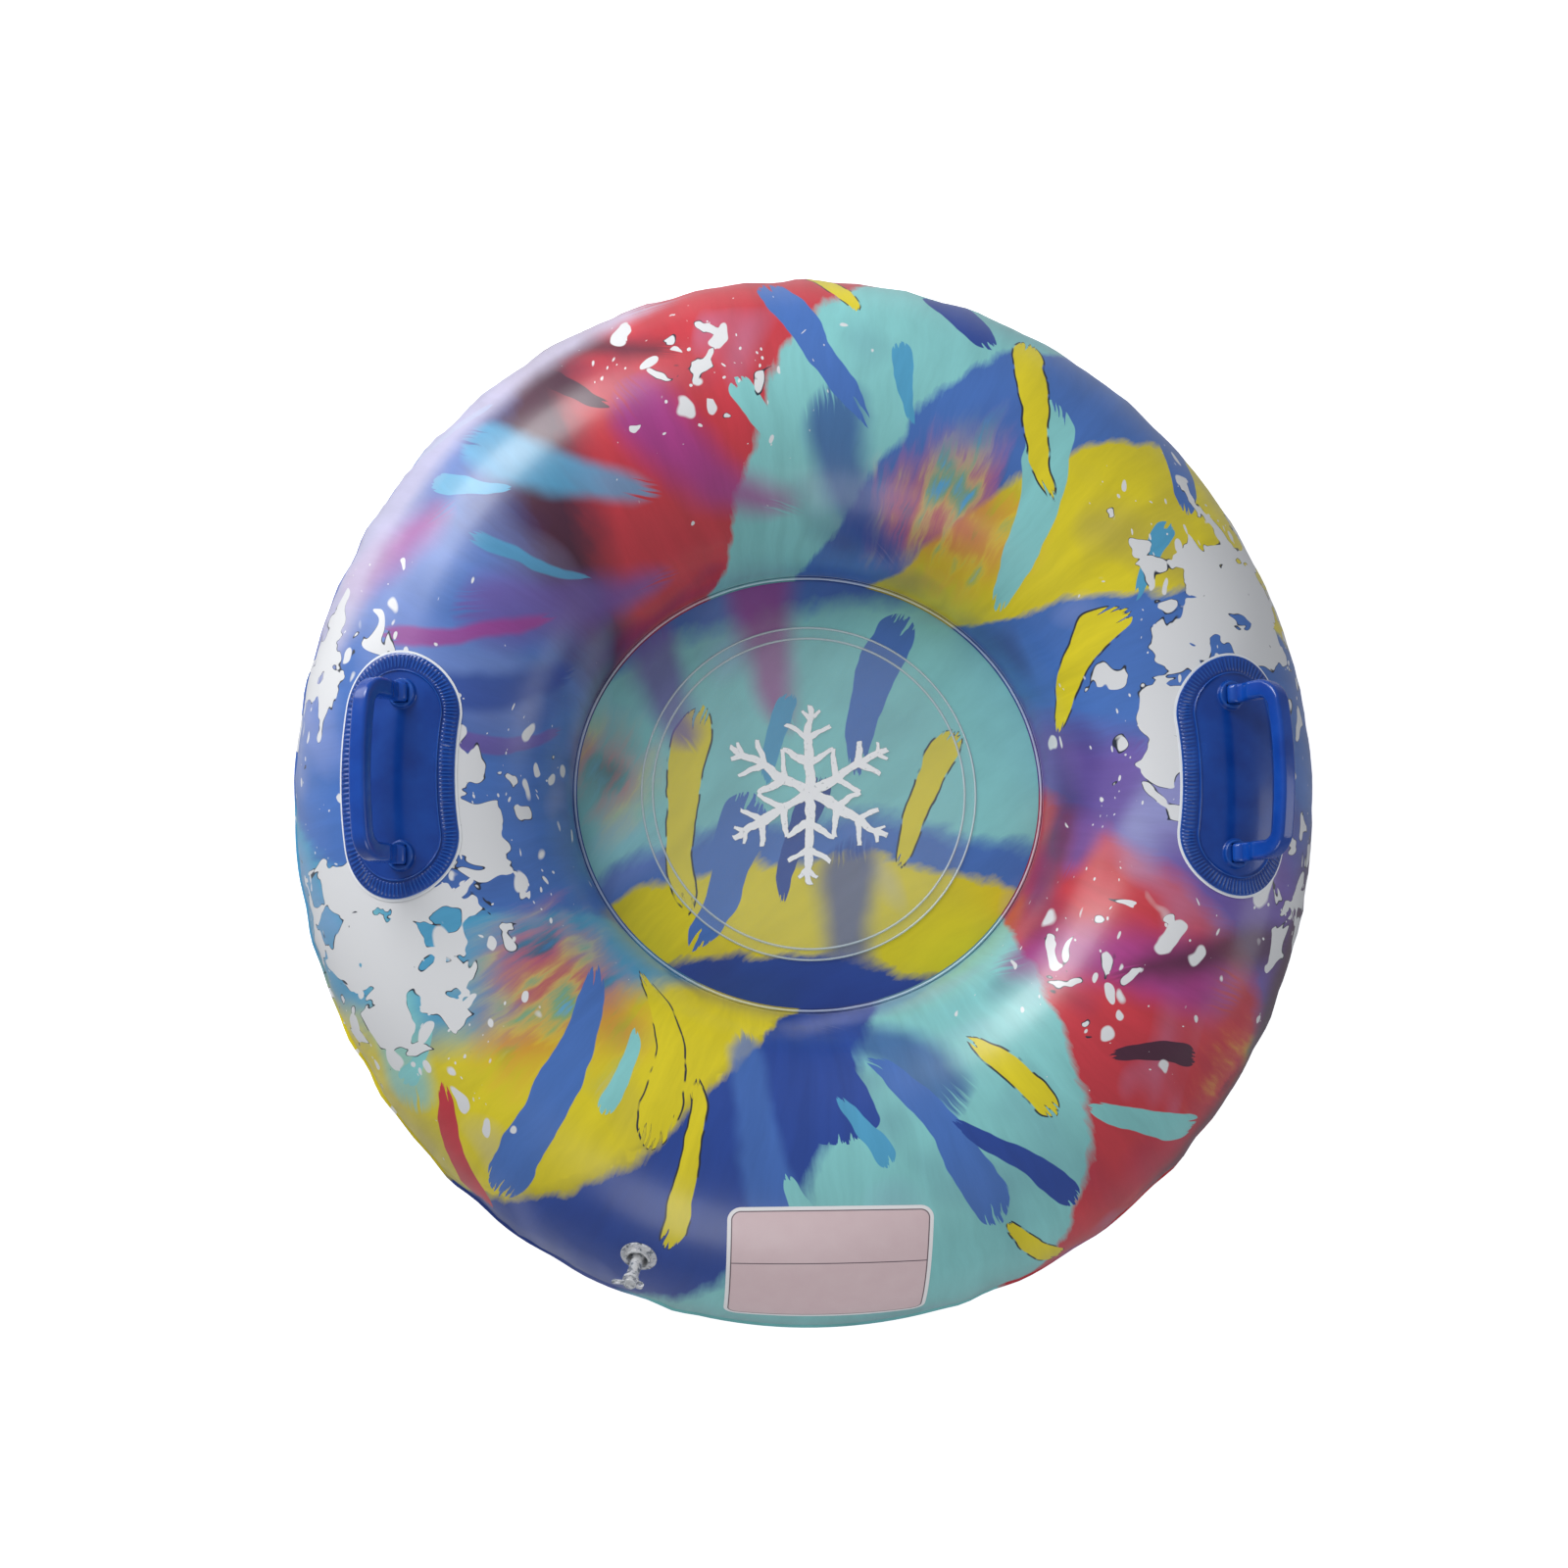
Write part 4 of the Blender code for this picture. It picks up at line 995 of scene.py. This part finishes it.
patch_half_length = PAD_LENGTH / 2 + PATCH_MARGIN
patch_half_width = PAD_WIDTH / 2 + PATCH_MARGIN
patch = stadium_plate(patch_half_length, patch_half_width, 72, 36, PATCH_BASE + PATCH_WALL)
cut_grid(PAD_WIDTH / 2, PAD_LENGTH / 2, spacing=0.0057)
leave()
drape(patch)
apply_modifier(patch, "SOLIDIFY", thickness=PATCH_WALL, offset=-1.0)
finish_piece(patch, "right_white_patch", patch_pvc, "root")
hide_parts("right_handle_patch")
left_patch = second_handle(patch, "left_white_patch", patch_pvc, "root")
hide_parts("left_handle_patch")


def moulded_blue(name, light, dark, roughness):
    """Moulded PVC, royal blue: semi-gloss with a fine matt grain, a painted highlight on edges and ridges
    and a painted shade in grooves.
    """
    made, tree, shader = new_material(name, Coat_Weight=0.25, Coat_Roughness=0.10, IOR=1.48)
    place = add_node(tree, "TexCoord").node.outputs["Object"]
    tint = mottled(tree, place, 28.0, 4.0, dark, light, low=0.3, high=0.7)
    bends = add_node(tree, "NewGeometry").node.outputs["Pointiness"]
    # Painted highlight where the surface bulges, painted shade where it hollows
    for start, full, most, colour in ((0.52, 0.60, 0.60, "3F7BD0"), (0.48, 0.42, 0.55, "04205C")):
        share = add_node(tree, "MapRange", (bends, start, full, 0.0, most))
        tint = add_node(tree, "Mix", {0: share, 6: tint, 7: srgb(colour)}, data_type="RGBA")
    tree.links.new(tint, shader.inputs["Base Color"])
    cloudy_gloss(tree, shader, place, scale=28.0, detail=4.0, roughness=roughness)
    link_relief(tree, shader, place, scale=1400.0, depth=0.00002)
    return made


pad_pvc = moulded_blue("moulded_royal_blue_pvc_pad", "0A459F", "063587", 0.23)
grip_pvc = moulded_blue("moulded_royal_blue_pvc_grip", "0B4AAC", "073C96", 0.20)

pad_rim = PAD_BASE + PAD_SHELL - PAD_STEPS[0][1]
pad = stadium_plate(PAD_LENGTH / 2, PAD_WIDTH / 2, 4 * ARC_RIBS, 4 * SIDE_RIBS, pad_rim)
for thickness, rise in PAD_STEPS:
    bpy.ops.mesh.inset(thickness=thickness, use_even_offset=True)
    if rise:
        shift(0, 0, rise)
bpy.ops.mesh.hide(unselected=True)
cut_grid(PAD_WIDTH / 2, PAD_LENGTH / 2, spacing=0.0045)
bpy.ops.mesh.reveal()
leave()
pad_straight = (PAD_LENGTH - PAD_WIDTH) / 2


def rib_number(spot):
    """How many quarter ribs a place on the border is from the middle of its side."""
    over = abs(spot.y) - pad_straight
    if over < 0:
        return round(2 * SIDE_RIBS * abs(spot.y) / pad_straight)
    return 2 * SIDE_RIBS - 1 + round(4 * ARC_RIBS * math.atan2(over, abs(spot.x)) / math.pi)


def off_edge(spot):
    return PAD_WIDTH / 2 - math.hypot(spot.x, max(abs(spot.y) - pad_straight, 0.0))


def on_rib(spot, vert):
    return RIBS_FROM < off_edge(spot) < RIBS_TO and rib_number(spot) % 4 in (1, 2)


edit(pad)
pick(pad, "VERT", on_rib)
shift(0, 0, RIB_HEIGHT)
leave()
drape(pad)
apply_modifier(pad, "SOLIDIFY", thickness=PAD_SHELL, offset=-1.0)
finish_piece(pad, "right_pad", pad_pvc, "root", 50.0)
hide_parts("right_handle_pad")
left_pad = second_handle(pad, "left_pad", pad_pvc, "root")
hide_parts("left_handle_pad")


# Grips: a thick U-shaped bar of the same blue PVC on each pad. Its arms thin to a neck and end in a
# round knuckle, which sits in the cradle of a low boss moulded on the pad and lets the grip fold.
HINGE_HEIGHT = 0.0121
GRIP_LEAN = math.radians(19.0)
GRIP_HALF_SPAN = 0.078
GRIP_REACH = 0.068
GRIP_THICKNESS = 0.0175
ARM_WIDTH = 0.018
BAR_DEPTH = 0.0155
BEND_RADIUS = 0.020
BEND_STEPS = 18
BAR_BOW = math.radians(9.0)
KNUCKLE_RADIUS = 0.0075
NECK_THICKNESS = 0.008
NECK_LENGTH = 0.0055
NECK_TAPER = 0.013
NECK_STEPS = 6
CORNER_RADIUS = 0.0040
CRADLE_PLAY = 0.0003  # round the knuckle
CRADLE_END_PLAY = 0.0004  # at each of its ends
SEAT_TOP = 0.0086
SEAT_RADIUS = 0.0125
SEAT_STRETCH = 0.0015
SEAT_FLARE = 1.10  # the foot is wider, and blends into the pad in the steps after it
SEAT_BASE = PAD_BASE + 0.0014
SEAT_STEPS = (  # rise, share of the width before it
    (0.0004, 0.985), (0.0004, 0.97), (0.0008, 0.965), (0.0012, 0.98), (0.0022, 0.985),
)
hinge_foot_x = math.sqrt(PAD_LINE_RADIUS**2 - GRIP_HALF_SPAN**2)


def combine(obj, operation, tool):
    """Joins a tool shape to a piece, or cuts it out of the piece, and takes the tool away."""
    apply_modifier(obj, "BOOLEAN", operation=operation, solver="EXACT", object=tool)
    bpy.data.objects.remove(tool, do_unlink=True)


def over_skin(x, y, height):
    """A place over the upper skin, from its plan position."""
    azimuth = math.atan2(y, x)
    share = (math.hypot(x, y) - RING_RADIUS) / tube_half_width(azimuth)
    return skin_point(azimuth, math.asin(share), height)


hinge = over_skin(hinge_foot_x, GRIP_HALF_SPAN, HINGE_HEIGHT)
pad_normal = skin_normal(0.0, PAD_ANGLE)
pad_tilt = math.atan2(pad_normal.x, pad_normal.z)
seat_risen = sum(rise for rise, _ in SEAT_STEPS)

for way in (1, -1):
    seat = new_shape(bpy.ops.mesh.primitive_circle_add, vertices=72, radius=SEAT_RADIUS, fill_type="NGON")
    resize(1, 1 + SEAT_STRETCH / SEAT_RADIUS, 1)
    resize(SEAT_FLARE, SEAT_FLARE, 1)
    shift(0, 0, SEAT_BASE)
    for rise, share in (*SEAT_STEPS, (SEAT_TOP - SEAT_BASE - seat_risen, 0.93)):
        bpy.ops.mesh.extrude_region()
        shift(0, 0, rise)
        resize(share, share, 1)
    face_outwards_and_leave()
    middle_y = way * GRIP_HALF_SPAN
    move_to(seat, [over_skin(hinge_foot_x + x, middle_y + y, z) for x, y, z in places(seat).tolist()])
    bpy.ops.object.select_all(action="DESELECT")
    bpy.ops.mesh.primitive_cylinder_add(
        vertices=64,
        radius=KNUCKLE_RADIUS + CRADLE_PLAY,
        depth=ARM_WIDTH + 2 * CRADLE_END_PLAY,
        location=(hinge.x, middle_y, hinge.z),
        rotation=(math.pi / 2, 0, 0),
    )
    combine(seat, "DIFFERENCE", bpy.context.object)
    edges = dict(limit_method="ANGLE", angle_limit=math.radians(55))
    apply_modifier(seat, "BEVEL", width=0.0004, segments=2, **edges)
    hands = ("upper", "lower") if way > 0 else ("lower", "upper")
    finish_piece(seat, f"right_{hands[0]}_grip_seat", pad_pvc, "root")
    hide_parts("right_handle_pad")
    twin = second_handle(seat, f"left_{hands[1]}_grip_seat", pad_pvc, "root")
    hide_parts("left_handle_pad")

# One arm and half the bar: a rounded section, drawn out along the arm and spun round the bends
grip = new_shape(bpy.ops.mesh.primitive_plane_add, size=1.0)
resize(GRIP_THICKNESS, ARM_WIDTH, 1)
bpy.ops.mesh.bevel(offset=CORNER_RADIUS, segments=7, affect="VERTICES")
thick_start = KNUCKLE_RADIUS * math.sqrt(1 - (NECK_THICKNESS / 2 / KNUCKLE_RADIUS) ** 2) + NECK_LENGTH
arm_start = thick_start + NECK_TAPER
bend = math.pi / 2 - BAR_BOW
bar_end = GRIP_HALF_SPAN - BEND_RADIUS * (1 - math.cos(bend))
bow_radius = bar_end / math.sin(BAR_BOW)
bar_middle = GRIP_REACH - BAR_DEPTH / 2
bend_start = bar_middle - bow_radius * (1 - math.cos(BAR_BOW)) - BEND_RADIUS * math.sin(bend)
stations = []  # reach along the arm, thickness
turns = [math.radians(turn) for turn in (6, 15, 27, 40, 55, 70, 85, 100, 115, 130, 140)]
for turn in (*turns, math.pi - math.asin(NECK_THICKNESS / 2 / KNUCKLE_RADIUS)):
    stations.append((-KNUCKLE_RADIUS * math.cos(turn), 2 * KNUCKLE_RADIUS * math.sin(turn)))
for step in range(NECK_STEPS + 1):
    share = step / NECK_STEPS
    eased = share * share * (3 - 2 * share)
    thickness = NECK_THICKNESS + eased * (GRIP_THICKNESS - NECK_THICKNESS)
    stations.append((thick_start + share * NECK_TAPER, thickness))
stations += [((arm_start + bend_start) / 2, GRIP_THICKNESS), (bend_start, GRIP_THICKNESS)]
reach, thickness = stations[0]
resize(thickness / GRIP_THICKNESS, 1, 1)
shift(0, GRIP_HALF_SPAN, reach)
for (reach, thickness), (further, thicker) in zip(stations, stations[1:]):
    bpy.ops.mesh.extrude_region()
    shift(0, 0, further - reach)
    resize(thicker / thickness, 1, 1)
narrowing = (BAR_DEPTH / ARM_WIDTH) ** (1 / BEND_STEPS)
bend_middle = Vector((0, GRIP_HALF_SPAN - BEND_RADIUS, bend_start))
for step in range(BEND_STEPS):
    turn = bend * (step + 1) / BEND_STEPS
    bpy.ops.mesh.spin(steps=1, angle=bend / BEND_STEPS, center=bend_middle, axis=(-1, 0, 0))
    spot = bend_middle + BEND_RADIUS * Vector((0, math.cos(turn), math.sin(turn)))
    resize(1, narrowing, narrowing, spot)
bpy.ops.mesh.spin(steps=12, angle=BAR_BOW, center=(0, 0, bar_middle - bow_radius), axis=(-1, 0, 0))
bpy.ops.mesh.delete(type="FACE")
pick(grip, "VERT", lambda middle, vert: middle.y < 0.0002)
resize(1, 0, 1)
leave()
mirror = dict(use_axis=(False, True, False), use_mirror_merge=True, merge_threshold=0.0001)
apply_modifier(grip, "MIRROR", **mirror)
edit(grip)
face_outwards_and_leave()
stand = Matrix.Translation((hinge.x, 0, hinge.z)) @ Matrix.Rotation(pad_tilt + GRIP_LEAN, 4, "Y")
grip.data.transform(stand)
finish_piece(grip, "right_grip_bar", grip_pvc, "right_grip", 35.0)
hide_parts("right_handle_grip")
left_grip = second_handle(grip, "left_grip_bar", grip_pvc, "left_grip")
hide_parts("left_handle_grip")


# Valve: clear soft PVC. A flange with a collar is welded round a hole in the skin, a stem stands in
# it that can be pushed in, and a plug with a pull tab closes the stem. A strap keeps the plug.
valve_along = Vector((math.sin(VALVE_AZIMUTH), -math.cos(VALVE_AZIMUTH), 0))
valve_frame = Matrix((valve_along, valve_axis.cross(valve_along), valve_axis)).transposed().to_4x4()
valve_frame.translation = valve_middle
COLLAR_HEIGHT = 0.0055
FLANGE_PROFILE = (  # radius, height over the skin
    (0.0122, 0.0003), (0.0180, 0.0003), (0.0180, 0.0008), (0.0178, 0.0012),
    (0.0174, 0.0015), (0.0150, 0.0015), (0.0136, 0.0016), (0.0128, 0.0021),
    (0.0125, 0.0030), (0.0125, 0.0047), (0.0123, 0.0052), (0.0118, 0.0055),
    (0.0106, 0.0055), (0.0102, 0.0052), (0.0102, 0.0043), (0.0110, 0.0031),
    (0.0110, -0.0340), (0.0122, -0.0340),
)
STEM_PROFILE = (
    (0.0040, -0.0080), (0.0106, -0.0080), (0.0107, -0.0066), (0.0090, -0.0062),
    (0.0066, -0.0056), (0.0060, -0.0045), (0.0060, 0.0080), (0.0062, 0.0086),
    (0.0060, 0.0092), (0.0060, 0.0310), (0.0060, 0.0320), (0.0064, 0.0325),
    (0.0066, 0.0332), (0.0066, 0.0338), (0.0063, 0.0340), (0.0040, 0.0340),
)
PLUG_PROFILE = (
    (0.0, 0.0253), (0.0031, 0.0253), (0.0034, 0.0256), (0.0037, 0.0343),
    (0.0064, 0.0343), (0.0066, 0.0346), (0.0066, 0.0362), (0.0063, 0.0367),
    (0.0056, 0.0368), (0.0040, 0.0365), (0.0, 0.0364),
)
STRAP_RING_PROFILE = ((0.0063, 0.0291), (0.0079, 0.0291), (0.0079, 0.0317), (0.0063, 0.0317))
PLUG_HEAD_MIDDLE = 0.03555
TAB_START = 0.00325
TAB_SPAN = 0.01425
TAB_WIDTH = 0.0055
TAB_WALL = 0.0016
TAB_RIDGE = 0.0002
LOOP_WALL = 0.0012
LOOP_WIDTH = 0.0040
LOOP_REACH = 0.0030  # straight part of the strap's loop, before its bend

# Clear soft PVC, moulded: silvery, with many small lights and darks. The bent light that makes them is
# too fine to show, so the clouds of dark grey and white in the colour are painted glints and shade,
# and the relief is drawn stronger than a real one; both are 3 to 5 mm across.
VALVE_SURFACE = dict(Alpha=0.80, Transmission_Weight=0.45, Roughness=0.08, IOR=1.50, Coat_Weight=1.0)
clear_pvc, tree, shader = new_material("clear_soft_pvc_valve", **VALVE_SURFACE)
place = add_node(tree, "TexCoord").node.outputs["Object"]
tint = mottled(tree, place, 190.0, 2.0, "8C96A0", "FDFEFF", low=0.36, high=0.50)
tree.links.new(tint, shader.inputs["Base Color"])
link_relief(tree, shader, place, scale=330.0, depth=0.0022)

# The flange's foot bends down with the skin, and its collar's rim stays flat
flange = lathe(FLANGE_PROFILE, 72, closed=True)
points = places(flange)
round_ring = valve_middle.xy.length / math.sin(VALVE_ANGLE)
drop = points[:, 0] ** 2 / (2 * round_ring) + points[:, 1] ** 2 / (2 * TUBE_HALF_WIDTH)
points[:, 2] -= np.clip(1 - np.abs(points[:, 2]) / COLLAR_HEIGHT, 0, 1) * drop
move_to(flange, points)
flange.data.transform(valve_frame)
finish_piece(flange, "valve_collar", clear_pvc, "root")
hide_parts("valve_flange")

stem = lathe(STEM_PROFILE, 64, closed=True)
stem.data.transform(valve_frame)
finish_piece(stem, "valve_stem_tube", clear_pvc, "valve_stem")
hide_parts("valve_stem")

plug = lathe(PLUG_PROFILE, 64)
tab = new_shape(bpy.ops.mesh.primitive_cube_add, size=1.0)
resize(TAB_SPAN, TAB_WIDTH, TAB_WALL)
shift(TAB_SPAN / 2, 0, 0)
pick(tab, "EDGE", lambda spot, edge: spot.x > 0.9 * TAB_SPAN and abs(spot.y) > abs(spot.z))
bpy.ops.mesh.bevel(offset=0.0026, segments=8)
for offset in range(1, 6):
    select_all()
    bpy.ops.mesh.bisect(plane_co=(offset * 0.002, 0, 0), plane_no=(1, 0, 0))
pick(tab, "EDGE", lambda middle, edge: edge.calc_face_angle(0.0) > 0.8)
bpy.ops.mesh.bevel(offset=0.0003, segments=2)
leave()

# Fine ridges across both faces of the pull tab
points = places(tab)
on_ridge = np.sin(points[:, 0] / TAB_SPAN * 22) > 0.2
points[:, 2] += np.where(on_ridge, TAB_RIDGE, 0.0) * np.sign(points[:, 2])
move_to(tab, points)
tab_turn = Matrix.Rotation(math.radians(-20), 4, "Y")
tab.data.transform(Matrix.Translation((TAB_START, 0, PLUG_HEAD_MIDDLE)) @ tab_turn)
combine(plug, "UNION", tab)
plug.data.transform(valve_frame)
finish_piece(plug, "valve_plug_and_tab", clear_pvc, "valve_plug", 30.0)
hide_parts("valve_plug")

strap = lathe(STRAP_RING_PROFILE, 48, closed=True)
loop_low = Vector((-0.0071, 0, 0.0304))
loop_high = Vector((-0.0068, 0, PLUG_HEAD_MIDDLE))
loop = new_shape(bpy.ops.mesh.primitive_plane_add, size=1.0)
resize(LOOP_WALL, LOOP_WIDTH, 1)
leave()
loop.data.transform(Matrix.Rotation(math.radians(-90), 4, "Y"))
loop.data.transform(Matrix.Translation(loop_low))
edit(loop)
bpy.ops.mesh.extrude_region()
shift(-LOOP_REACH, 0, 0)
loop_middle = (loop_low.x - LOOP_REACH, 0, (loop_low.z + loop_high.z) / 2)
bpy.ops.mesh.spin(steps=14, angle=math.pi, center=loop_middle, axis=(0, -1, 0))
bpy.ops.mesh.extrude_region()
shift(LOOP_REACH + loop_high.x - loop_low.x, 0, 0)
select_all()
bpy.ops.mesh.remove_doubles(threshold=0.00001)
face_outwards_and_leave()
combine(strap, "UNION", loop)
strap.data.transform(valve_frame)
finish_piece(strap, "valve_strap_loop", clear_pvc, smooth=30.0)
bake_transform(strap)
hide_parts("valve_strap")

# The flap is inside the ring, out of sight, and keeps its CAD shape
for slot_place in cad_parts["valve_flap"].material_slots:
    slot_place.material = clear_pvc


# Label panel: a rounded sticker on the upper side, left bare. Pale pink, with a white edge, a thin
# dark frame line and one rule across.
LABEL_WIDTH = 0.197
LABEL_LENGTH = 0.142
LABEL_CORNER = 0.013
LABEL_MIDDLE_X = 0.0035
LABEL_TOP_Y = -0.412
LABEL_RULE_Y = 0.0115
LABEL_LIFT = 0.0004
LABEL_WALL = 0.0002
LABEL_FRAME = 0.0042  # the frame line's middle, in from the label's edge
LINE_HALF_WIDTH = 0.00035
LINE_BLUR = 0.0004
WHITE_EDGE = 0.0034

# Label film: satin, screen printed. The eye sees an even, faintly clouded pink with thin dark lines.
label_film, tree, shader = new_material("satin_label_film", Roughness=0.36)
label_map = add_node(tree, "UVMap", uv_map="label_sheet")
label_split = add_node(tree, "SeparateXYZ", (label_map,)).node.outputs
sides = []
for socket, half in ((label_split["X"], LABEL_WIDTH / 2), (label_split["Y"], LABEL_LENGTH / 2)):
    side = add_node(tree, "Math", (socket,), "ABSOLUTE")
    sides.append(add_node(tree, "Math", (side, half - LABEL_CORNER), "SUBTRACT"))
beyond = [add_node(tree, "Math", (side, 0.0), "MAXIMUM") for side in sides]
corner = from_axis(tree, add_node(tree, "CombineXYZ", beyond))
within = add_node(tree, "Math", (sides[0], sides[1]), "MAXIMUM")
within = add_node(tree, "Math", (within, 0.0), "MINIMUM")
edge_depth = add_node(tree, "Math", (corner, within), "ADD")
edge_depth = add_node(tree, "Math", (LABEL_CORNER, edge_depth), "SUBTRACT")
tint = mottled(tree, label_map, 45.0, 4.0, "DFC2C6", "E8D0D2")
frame_line = distance(tree, edge_depth, LABEL_FRAME)
rule = distance(tree, label_split["Y"], LABEL_RULE_Y)
past_frame = add_node(tree, "MapRange", (edge_depth, LABEL_FRAME - 0.0002, LABEL_FRAME, 0.01, 0.0))
rule = add_node(tree, "Math", (rule, past_frame), "ADD")
lines = add_node(tree, "Math", (frame_line, rule), "MINIMUM")
for depth, start, colour in ((lines, LINE_HALF_WIDTH, "5B4A54"), (edge_depth, WHITE_EDGE, "F6F4F5")):
    share = add_node(tree, "MapRange", (depth, start, start + LINE_BLUR, 1.0, 0.0))
    tint = add_node(tree, "Mix", {0: share, 6: tint, 7: srgb(colour)}, data_type="RGBA")
tree.links.new(tint, shader.inputs["Base Color"])
link_relief(tree, shader, label_map, scale=130.0, depth=0.00012)

label = new_shape(bpy.ops.mesh.primitive_plane_add, size=1.0)
resize(LABEL_WIDTH, LABEL_LENGTH, 1)
bpy.ops.mesh.bevel(offset=LABEL_CORNER, segments=10, affect="VERTICES")
cut_grid(LABEL_WIDTH / 2, LABEL_LENGTH / 2, spacing=0.0055)
leave()
flat = places(label)
add_map(label, "label_sheet", flat[:, :2])


LONGEST_STEP = 0.001
PROBE = 0.0001  # how far ahead the skin's slope is measured


def stick_down(x, length, lift):
    """The place on the skin at this length down from the label's straight top edge."""
    y = LABEL_TOP_Y
    last = over_skin(x, y, lift)
    gone = 0.0
    while gone < length:
        step = min(LONGEST_STEP, length - gone)
        ahead = over_skin(x, y - PROBE, lift)
        slope = (ahead - last).length / PROBE
        y -= max(step / slope, 1e-6)
        spot = over_skin(x, y, lift)
        gone += max((spot - last).length, 1e-6)
        last = spot
    return last


move_to(
    label,
    [stick_down(LABEL_MIDDLE_X + x, LABEL_LENGTH / 2 - y, LABEL_LIFT) for x, y, _ in flat.tolist()],
)
apply_modifier(label, "SOLIDIFY", thickness=LABEL_WALL, offset=-1.0)
finish_piece(label, "label_panel", label_film, "root")


# Studio: a floor that looks white, soft light from four sides, and the camera over the tube.
STUDIO_WHITE = (1.0, 1.0, 1.0, 1.0)
FLOOR_GLOW = 0.68  # with the lamps' light it makes the studio floor look just white


def white_if_seen(tree, shade):
    """White where it is looked at, and a shade where it only lights the object."""
    rays = add_node(tree, "LightPath").node.outputs
    looked_at = (rays["Is Camera Ray"], rays["Is Transmission Ray"])
    looked_at = add_node(tree, "Math", looked_at, "MAXIMUM")
    return looked_at, add_node(tree, "Mix", {0: looked_at, 6: shade, 7: STUDIO_WHITE}, data_type="RGBA")


bpy.ops.object.select_all(action="DESELECT")
bpy.ops.mesh.primitive_plane_add(size=14.0, location=(0, 0, -0.0005))
ground = bpy.context.object
ground.name = "studio_floor"
ground_paint, tree, shader = new_material("matt_studio_paint", Roughness=0.8)
seen, tint = white_if_seen(tree, (0.50, 0.50, 0.51, 1.0))
tree.links.new(tint, shader.inputs["Base Color"])
shader.inputs["Emission Color"].default_value = STUDIO_WHITE
glow = add_node(tree, "Math", (seen, FLOOR_GLOW), "MULTIPLY")
tree.links.new(glow, shader.inputs["Emission Strength"])
ground.data.materials.append(ground_paint)

world = bpy.data.worlds.new("studio_air")
bpy.context.scene.world = world
world.use_nodes = True
air = world.node_tree
air.nodes["Background"].inputs["Strength"].default_value = 1.0
air.links.new(white_if_seen(air, (0.31, 0.32, 0.335, 1.0))[1], air.nodes["Background"].inputs["Color"])

LAMP_AIM = Vector((0, 0, 0.1))
for name, place, size, power in (
    ("upper_left_softbox", (-1.6, 2.2, 1.9), 1.5, 67.0),
    ("low_left_softbox", (-2.2, 1.8, 0.7), 1.5, 22.0),
    ("right_softbox", (2.9, -0.4, 1.0), 1.3, 9.0),
    ("lower_softbox", (-0.4, -2.5, 2.2), 1.6, 22.0),
):
    bpy.ops.object.light_add(type="AREA", location=place)
    lamp = bpy.context.object
    lamp.name = name
    lamp.data.size = size
    lamp.data.energy = power
    lamp.rotation_euler = (LAMP_AIM - Vector(place)).to_track_quat("-Z", "Y").to_euler()

CAMERA_DISTANCE = 2.65
CAMERA_WEST = 0.09
CAMERA_SOUTH = 0.125
CAMERA_ROLL = math.radians(0.6)
CAMERA_AIM = Vector((-0.026, 0.009, 0))  # from the ring's middle
ring_middle = Vector((0, 0, MIDDLE_HEIGHT))
away = Vector((-math.sin(CAMERA_WEST), -math.sin(CAMERA_SOUTH), 1.0)).normalized()
bpy.ops.object.camera_add(location=ring_middle + CAMERA_DISTANCE * away)
camera = bpy.context.object
camera.name = "photo_camera"
camera.data.lens = 59.6
camera.data.sensor_width = 36.0
aim = (ring_middle + CAMERA_AIM - camera.location).normalized()
right = aim.cross(Vector((math.sin(CAMERA_ROLL), math.cos(CAMERA_ROLL), 0))).normalized()
camera.rotation_euler = Matrix((right, right.cross(aim), -aim)).transposed().to_euler()
bpy.context.scene.camera = camera
bpy.context.scene.view_settings.view_transform = "Standard"
